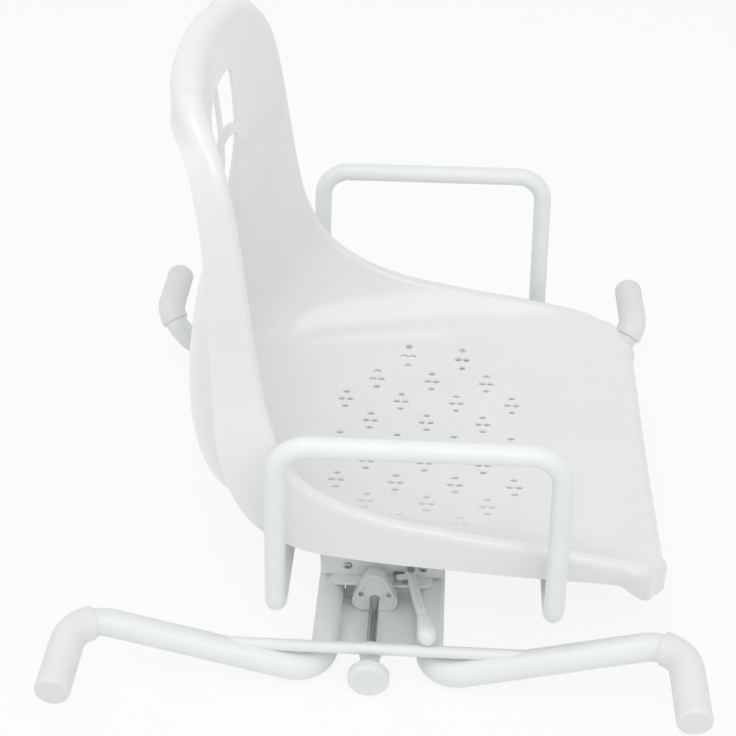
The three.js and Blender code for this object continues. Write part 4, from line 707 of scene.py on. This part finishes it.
connect(perforation, (g_in, "Depth", cylinder, "Depth"), (position, "Position", split, "Vector"),
        (split, "Z", mouth, "Value"), (g_in, "Flare", wider, 0), (wider, "Value", mouth, "To Max"),
        (mouth, "Result", spreading, "X"), (mouth, "Result", spreading, "Y"),
        (g_in, "Hole Length", widths, "X"), (g_in, "Hole Width", widths, "Y"),
        (position, "Position", scaled, 0), (spreading, "Vector", scaled, 1),
        (scaled, "Vector", sized, 0), (widths, "Vector", sized, 1),
        (cylinder, "Mesh", shaped, "Geometry"), (sized, "Vector", shaped, "Position"),
        (tilt, "Attribute", turn_to, "Vector"))
shape_on_points(perforation, g_in, g_out, (shaped, "Geometry"), (turn_to, "Rotation"))

# %% Run the tree and keep its mesh
hole_mesh = new_mesh("drain_hole_places", hole_points * MM, [])
tilt_layer = hole_mesh.attributes.new("tilt", "FLOAT_VECTOR", "POINT")
tilt_layer.data.foreach_set("vector", hole_normals.astype(np.float32).ravel())
cutter_mesh = run_tree(perforation, hole_mesh, hole_keys,
                       [*HOLE_INPUTS.values(), finishes["seat_plastic"]])
print("cutter faces:", len(cutter_mesh.polygons))

# %% [markdown]
# ## Windows of the back
# Four windows pierce the back: one rounded opening, divided by an upright bar and an arched cross
# bar. Each window is its own prism here, with rounded corners, and all of them join the cutters.

# %% Window prisms
WINDOW_HALF, WINDOW_TOP, WINDOW_BOTTOM = 67.0, 517.6, 347.6
BAR_HALF, CROSS_Z, CROSS_HALF, CROSS_ARCH = 4.5, 459.8, 6.0, 17.0
PRISM_ENDS_X = (-320.0, -90.0)
ARCH_STEPS, TIGHT, WIDE = 5, 2.5, 30  # corners beside the bars are tight, the outer ones wide


def rounded(outline, radius, steps=6):
    """Rounds the corners of a closed outline of (y, z) points."""
    result = []
    count = len(outline)
    for k in range(count):
        before, corner, after = (Vector(outline[(k + d) % count]) for d in (-1, 0, 1))
        a, b = (before - corner), (after - corner)
        reach = min(radius[k], a.length / 2.05, b.length / 2.05)
        first, last = corner + a.normalized() * reach, corner + b.normalized() * reach
        for step in range(steps + 1):
            s = step / steps
            result.append(first.lerp(corner, s).lerp(corner.lerp(last, s), s))
    return result


def cross_z(y, offset):
    return CROSS_Z - CROSS_ARCH * (y / WINDOW_HALF) ** 2 + offset


window_outlines = []
for side in (-1, 1):
    inner, outer = side * BAR_HALF, side * WINDOW_HALF
    ys = np.linspace(inner, outer, ARCH_STEPS)
    top = [(inner, WINDOW_TOP), (outer * 0.72, WINDOW_TOP - 3.5), (outer, WINDOW_TOP - 10.0)]
    arch_up = [(y, cross_z(y, CROSS_HALF)) for y in ys[::-1]]
    window_outlines.append(rounded(top + arch_up, [TIGHT, WIDE, WIDE, 4, WIDE, WIDE, WIDE, TIGHT]))
    arch_down = [(y, cross_z(y, -CROSS_HALF)) for y in ys]
    low = [(outer, WINDOW_BOTTOM), (inner, WINDOW_BOTTOM)]
    window_outlines.append(rounded(arch_down + low, [TIGHT, WIDE, WIDE, WIDE, 4, WIDE, 3]))
shells = [([mm(x, p.x, p.y) for x in PRISM_ENDS_X for p in outline], tube_faces(2, len(outline)))
          for outline in window_outlines]
print("windows:", len(shells))

# %% Cut the seat
holes = ([vertex.co.copy() for vertex in cutter_mesh.vertices],
         [face.vertices for face in cutter_mesh.polygons])
cutters = placed("seat_cutters", new_mesh("seat_cutters", *join_shells(*shells, holes)))
face_outwards(cutters.data)
cut_with(seat, cutters, "MANIFOLD")
settle(seat, "seat_plastic", "seat", "seat_shell", angle=38.0)

# %% [markdown]
# ## Plates, housing and small fittings
# The sheet-metal parts are plain plates whose edges were broken before painting. Their CAD solids
# have the right outline, so each is copied, its flat faces are joined and its edges are bevelled.
# Round fittings are turned again with more sides, and the guide gets its raised rim.

# %% Plates with softened edges
FLAT_MERGE, FLAT_ANGLE, BEVEL_ANGLE = 0.000005, math.radians(1.0), math.radians(30.0)


def softened(node, name, body, width):
    """A copy of a CAD plate, with its flat faces joined and its edges bevelled."""
    work = bmesh.new()
    work.from_mesh(nodes[node].data)
    bmesh.ops.remove_doubles(work, verts=work.verts, dist=FLAT_MERGE)
    bmesh.ops.dissolve_limit(work, angle_limit=FLAT_ANGLE, verts=work.verts, edges=work.edges)
    copy = bpy.data.meshes.new(name)
    work.to_mesh(copy)
    work.free()
    obj = placed(name, copy)
    bevel = obj.modifiers.new("edges", "BEVEL")
    bevel.width, bevel.segments = width * MM, 3
    bevel.limit_method, bevel.angle_limit = "ANGLE", BEVEL_ANGLE
    obj.data = applied(obj, bevel)
    # The plates take plate_paint, whose lighter tone is painted light against the shade below the
    # seat.
    settle(obj, "plate_paint", body, node)


softened("tray", "drip_tray", "frame", 0.6)
softened("base_plate", "turntable_base", "frame", 0.8)
softened("turntable_housing", "turntable_cover", "frame", 1.6)
softened("seat_carrier", "carrier_plate", "seat", 0.8)

# %% Stop rod and pad
ROD_X, ROD_Z = -6.0, 23.0
ROD_LINE = (mm(ROD_X, 0, ROD_Z), (0, -1, 0))
QUARTER = np.linspace(0, math.pi / 2, 7)
rod = [(0.2, 107.7), (4.2, 107.7), (5, 108.5), (5, 280.3), (0.2, 280.3)]
piece("sliding_rod", turned(rod, *ROD_LINE), "rod_chrome", "stop", "stop_rod")
pad = [(5.4, 244.5), (6.4, 244.5), (7.2, 244.9), (9.8, 247.2), (12.3, 249.2), (13.1, 250.6),
       (12.9, 252.2), (12.1, 254.2), (11.1, 256.6), (10.3, 259.4), (9.9, 262.5), (9.8, 276.5),
       (10.1, 279.2), (11.0, 280.0)]
pad += [(17 + 4 * math.sin(a), 284 - 4 * math.cos(a)) for a in QUARTER]
pad += [(17 + 4 * math.cos(a), 289 + 4 * math.sin(a)) for a in QUARTER]
pad += [(15.8, 293.0), (15.3, 292.8), (14.8, 292.55), (14.2, 292.5), (0.02, 292.5)]
piece("round_pad", turned(pad, *ROD_LINE, 72), "fitting_plastic", "stop", "stop_pad")

# %% Lever knob
ARM_Z, LEVER_REACH, LEVER_RISE, KNOB_LENGTH, KNOB_R = 43.2, 112.56, 15.5, 38.0, 9.5
LEVER_ANGLE, KNOB_RISE_SHARE = math.radians(10.7), 0.21
KNOB_SHAPE = [[0.0, 0.0], [0.55, 0.03], [0.85, 0.12], [1.0, 0.27], [0.95, 0.42], [0.75, 0.7],
              [0.58, 1.0]]
pivot = mm(31.0, -158.5, 0.0)


def on_lever(reach, height):
    """A point on the lever's centre line, from its pivot outwards."""
    return pivot + mm(reach * math.sin(LEVER_ANGLE), -reach * math.cos(LEVER_ANGLE), height)


slope = math.atan2(LEVER_RISE * KNOB_RISE_SHARE, KNOB_LENGTH)
outward = Vector((math.sin(LEVER_ANGLE) * math.cos(slope),
                  -math.cos(LEVER_ANGLE) * math.cos(slope), math.sin(slope)))
knob_tip = on_lever(LEVER_REACH, ARM_Z + LEVER_RISE)
profile = [(max(min(r, 1.0), 0.003) * KNOB_R, h * KNOB_LENGTH)
           for r, h in spline(KNOB_SHAPE, np.linspace(0, 1, 30))]
knob = turned(profile + [(5.1, KNOB_LENGTH)], knob_tip, -outward, 56)
piece("knob", knob, "fitting_plastic", "lever", "lever_knob")

# %% Lever arm
CRANK_LENGTH, CRANK_HALF, CRANK_TURN = 13.0, 2.75, math.radians(15)
CRANK_LEVELS, PIN_BOTTOM, PIN_TOP = (38.2, 41.2), 33.9, 40.0
knob_end = on_lever(LEVER_REACH - KNOB_LENGTH, ARM_Z + LEVER_RISE * (1 - KNOB_RISE_SHARE))
route = bent_route([on_lever(0, ARM_Z), on_lever(11.0, ARM_Z),
                    on_lever(LEVER_REACH * 0.39, ARM_Z + LEVER_RISE * 0.29),
                    knob_end, knob_end.lerp(knob_tip, 0.5)], [10.0] * 3, steps=6)
arm = sweep(route, [5.0 * MM] * len(route), sides=32)
hub = turned([(0.1, 38.2), (5.1, 38.2), (5.5, 38.7), (5.5, 47.6), (4.9, 48.2), (0.1, 48.2)],
             pivot, (0, 0, 1), 40)
crank_way = Vector((-math.cos(CRANK_TURN), -math.sin(CRANK_TURN), 0))
crank_side = Vector((crank_way.y, -crank_way.x, 0))
crank_outline = [(CRANK_LENGTH + CRANK_HALF * math.cos(a), CRANK_HALF * math.sin(a))
                 for a in np.linspace(-math.pi / 2, math.pi / 2, 9)]
crank_outline += [(0.0, CRANK_HALF), (0.0, -CRANK_HALF)]
crank = ([pivot + crank_way * (x * MM) + crank_side * (y * MM) + mm(0, 0, z)
          for z in CRANK_LEVELS for x, y in crank_outline], tube_faces(2, len(crank_outline)))
pin = turned([(0.1, PIN_BOTTOM), (2, PIN_BOTTOM), (2, PIN_TOP), (0.1, PIN_TOP)],
             pivot + crank_way * (CRANK_LENGTH * MM), (0, 0, 1), 24)
piece("lever_bar", join_shells(arm, hub, crank, pin), "frame_paint", "lever", "lever_arm")

# %% [markdown]
# ## Rod guide
# The guide is a moulded bush with a rounded triangular flange. Its face is recessed inside a raised
# rim, and two screws hold it. The outline is offset inwards ring by ring, and the rings are stacked
# along the rod's axis.

# %% Rod guide
CORNER_R, CORNER_STEPS, FLANGE_CORNERS = 12.0, 12, [(0.0, 21.0), (-12.0, -5.5), (12.0, -5.5)]
FLANGE_LEVELS = [(0.6, 165.3), (0.15, 165.5), (0.0, 166.0), (0.0, 177.1), (0.2, 177.65),
                 (0.7, 178.0), (1.8, 178.0), (2.3, 177.7), (2.5, 177.2), (2.5, 175.6),
                 (2.8, 175.15), (3.4, 175.0)]  # inset, distance from the swivel axis
BUSH = [(0.1, 174), (9.3, 174), (9.3, 175.2), (9.0, 175.6), (9.0, 177.4), (8.6, 177.9), (8.2, 178),
        (0.1, 178)]
BORE = [(0.1, 150), (5.3, 150), (5.3, 182), (0.1, 182)]
NECK_R, NECK_BACK, NECK_FRONT, NECK_ARCS = 15.0, 154.0, 165.8, ((160.53, 379.47), (34.99, 145.01))


def triangle_outline(inset):
    """The flange's outline, offset inwards: an arc round each of three corners."""
    angles = []
    for (x, y), (next_x, next_y) in zip(FLANGE_CORNERS, FLANGE_CORNERS[1:] + FLANGE_CORNERS[:1]):
        angles.append(math.atan2(next_y - y, next_x - x) - math.pi / 2)
    outline = []
    for k, (x, y) in enumerate(FLANGE_CORNERS):
        first, last = angles[k - 1], angles[k]
        while last < first:
            last += 2 * math.pi
        outline += [(x + (CORNER_R - inset) * math.cos(a), y + (CORNER_R - inset) * math.sin(a))
                    for a in np.linspace(first, last, CORNER_STEPS)]
    return outline


def stacked(*layers):
    """A closed shell of outlines of equal length, each at its distance from the swivel axis."""
    shell = [mm(ROD_X + x, -distance, ROD_Z + y) for outline, distance in layers for x, y in outline]
    return shell, tube_faces(len(layers), len(layers[0][0]))


shells = [stacked(*((triangle_outline(inset), distance) for inset, distance in FLANGE_LEVELS)),
          turned(BUSH, *ROD_LINE, 48)]
for low, high in NECK_ARCS:
    neck = [(NECK_R * math.cos(a), NECK_R * math.sin(a))
            for a in np.radians(np.linspace(low, high, 40))]
    shells.append(stacked((neck, NECK_BACK), (neck, NECK_FRONT)))
guide = placed("guide_flange", new_mesh("guide_flange", *join_shells(*shells)))
bore = placed("guide_bore", new_mesh("guide_bore", *turned(BORE, *ROD_LINE, 48)))
face_outwards(guide.data)
face_outwards(bore.data)
cut_with(guide, bore, "EXACT")
settle(guide, "fitting_plastic", "frame", "rod_guide")

# %% [markdown]
# ## Screws
# Four cross-head screws show: two in the cover's front and two in the guide. A tree places one head
# on each place. The head is a turned dome with a cross cut into it, which the Boolean makes once.

# %% Screw heads
SCREW_TURN = 0.7


def screw_head(radius, height):
    """A domed head along +Z with a cross-shaped recess, as a mesh object."""
    dome = [(0.02, -0.3), (radius, -0.3), (radius, height * 0.35), (radius * 0.93, height * 0.62),
            (radius * 0.75, height * 0.86), (radius * 0.45, height), (0.02, height)]
    head = placed("screw_head", new_mesh("screw_head", *turned(dome, mm(0, 0, 0), (0, 0, 1), 32)))
    face_outwards(head.data)
    cross = bmesh.new()
    bar = mm(radius * 0.62 * 2, radius * 0.17 * 2, height * 1.6)
    for angle in (0, math.pi / 2):
        made = bmesh.ops.create_cube(cross, size=1.0)
        bmesh.ops.scale(cross, vec=bar, verts=made["verts"])
        bmesh.ops.rotate(cross, matrix=Matrix.Rotation(angle, 3, "Z"), verts=made["verts"])
        bmesh.ops.translate(cross, vec=mm(0, 0, height * 1.1), verts=made["verts"])
    cross_mesh = bpy.data.meshes.new("cross")
    cross.to_mesh(cross_mesh)
    cross.free()
    cut_with(head, placed("cross", cross_mesh), "EXACT")
    return head


fastening, g_in, g_out, screw_keys = new_tree(
    "screw_places", ("Head", "NodeSocketObject"), ("Turn", FLOAT), ("Finish", "NodeSocketMaterial"))
info = wire(fastening, "GeometryNodeObjectInfo", (-600, 200))
order = wire(fastening, "GeometryNodeInputIndex", (-700, -150))
twist = wire(fastening, "ShaderNodeMath", (-500, -150), operation="MULTIPLY")
axes = wire(fastening, "ShaderNodeCombineXYZ", (-300, -150), {"X": math.pi / 2})
to_rotation = wire(fastening, "FunctionNodeEulerToRotation", (-150, -150))
spin = wire(fastening, "ShaderNodeCombineXYZ", (-300, -300))
spin_rotation = wire(fastening, "FunctionNodeEulerToRotation", (-150, -300))
both = wire(fastening, "FunctionNodeRotateRotation", (0, -200), rotation_space="LOCAL")
connect(fastening, (g_in, "Head", info, "Object"), (order, "Index", twist, 0),
        (g_in, "Turn", twist, 1), (axes, "Vector", to_rotation, "Euler"),
        (twist, "Value", spin, "Z"), (spin, "Vector", spin_rotation, "Euler"),
        (to_rotation, "Rotation", both, "Rotation"), (spin_rotation, "Rotation", both, "Rotate By"))
shape_on_points(fastening, g_in, g_out, (info, "Geometry"), (both, "Rotation"))


def screws(name, radius, height, spots, *replaced):
    """Heads of one size on their spots, as one piece."""
    head = screw_head(radius, height)
    spot_mesh = new_mesh(name + "_spots", [mm(*spot) for spot in spots], [])
    result = run_tree(fastening, spot_mesh, screw_keys,
                      [head, SCREW_TURN, finishes["fastener_steel"]])
    bpy.data.objects.remove(head)
    settle(placed(name, result), "fastener_steel", "frame", *replaced)


screws("cover_screws", 4.5, 2.6, [(-36, -152.3, 45.1), (44, -152.3, 45.1)],
       "housing_screw_1", "housing_screw_2")
screws("flange_screws", 2.75, 1.5, [(-20.5, -175.3, 27), (8.5, -175.3, 27)],
       "guide_screw_1", "guide_screw_2")

# %% [markdown]
# ## Floor, background and light
# The photograph is cut out on plain white. The world is white to the camera, and to glossy and
# transmission rays, and gives a softer even light to everything else. Four soft lamps shape the
# form: one above, weak ones from the left and the right, and a broad one beside the camera, which
# reaches below the seat. It is broad so that the gloss shows it without clipping. The floor is
# white to the same rays too, mixed with a share of its own shading, so it keeps the shadow.

# %% White for the rays that are seen
def shade_by_ray(tree, output, ordinary, seen):
    """Gives camera, glossy and transmission rays one shader and all other rays another."""
    rays = wire(tree, "ShaderNodeLightPath", (-600, 300))
    first = wire(tree, "ShaderNodeMath", (-300, 350), operation="MAXIMUM")
    second = wire(tree, "ShaderNodeMath", (-100, 350), operation="MAXIMUM")
    mixer = wire(tree, "ShaderNodeMixShader", (300, 0))
    connect(tree, (rays, "Is Camera Ray", first, 0), (rays, "Is Glossy Ray", first, 1),
            (first, "Value", second, 0), (rays, "Is Transmission Ray", second, 1),
            (second, "Value", mixer, "Fac"), (*ordinary, mixer, 1), (*seen, mixer, 2),
            (mixer, "Shader", output, "Surface"))


# %% World
AMBIENT_COLOUR, AMBIENT_STRENGTH = (0.965, 0.985, 0.995, 1), 0.67
WHITE = (1, 1, 1, 1)
scene = bpy.context.scene
world = bpy.data.worlds.new("studio")
scene.world = world
world.use_nodes = True
tree = world.node_tree
tree.nodes.clear()
output = wire(tree, "ShaderNodeOutputWorld", (600, 0))
ambient = wire(tree, "ShaderNodeBackground", (0, 150),
               {"Color": AMBIENT_COLOUR, "Strength": AMBIENT_STRENGTH})
backdrop = wire(tree, "ShaderNodeBackground", (0, -50), {"Color": WHITE, "Strength": 1.0})
shade_by_ray(tree, output, (ambient, "Background"), (backdrop, "Background"))
scene.view_settings.view_transform = "Standard"
print("world:", world.name, "nodes:", len(tree.nodes))

# %% Lamps
def lamp(name, place, target, size, power, colour=(1, 1, 1)):
    """A rectangular soft lamp that looks at a target."""
    data = bpy.data.lights.new(name, "AREA")
    data.shape = "RECTANGLE"
    data.size, data.size_y = size
    data.energy = power
    data.color = colour
    obj = placed(name, data)
    obj.location = place
    obj.rotation_euler = (Vector(target) - Vector(place)).to_track_quat("-Z", "Y").to_euler()


lamp("top_softbox", (-0.5, -0.5, 2.4), (0, 0, 0.2), (1.4, 1.4), 10.0, (1.0, 0.99, 0.96))
lamp("right_softbox", (2.0, -1.2, 1.5), (0, 0, 0.2), (0.8, 0.8), 1.5)
lamp("left_softbox", (-1.9, -1.0, 1.0), (0, 0, 0.25), (1.2, 1.2), 2.4, (0.8, 0.9, 1.0))
lamp("front_softbox", (0.46, -1.3, 1.6), (0, 0, 0.15), (1.3, 0.9), 6.8, (0.98, 0.99, 1.0))

# %% Floor
FLOOR_HALF, FLOOR_Z, FLOOR_COLOUR, WHITE_SHARE = 8.0, -0.0006, (0.9, 0.9, 0.9, 1), 0.86
floor_material = bpy.data.materials.new("studio_floor")
floor_material.use_nodes = True
tree = floor_material.node_tree
tree.nodes.clear()
output = wire(tree, "ShaderNodeOutputMaterial", (600, 0))
plain = wire(tree, "ShaderNodeBsdfDiffuse", (-200, 100), {"Color": FLOOR_COLOUR})
white = wire(tree, "ShaderNodeEmission", (-200, -100), {"Color": WHITE, "Strength": 1.0})
seen = wire(tree, "ShaderNodeMixShader", (100, -50), {"Fac": WHITE_SHARE})
connect(tree, (plain, "BSDF", seen, 1), (white, "Emission", seen, 2))
shade_by_ray(tree, output, (plain, "BSDF"), (seen, "Shader"))
floor_corners = [(x * FLOOR_HALF, y * FLOOR_HALF, FLOOR_Z)
                 for x, y in ((-1, -1), (1, -1), (1, 1), (-1, 1))]
floor = placed("studio_floor", new_mesh("studio_floor", floor_corners, [range(4)]))
floor.data.materials.append(floor_material)
print("floor:", floor.name)
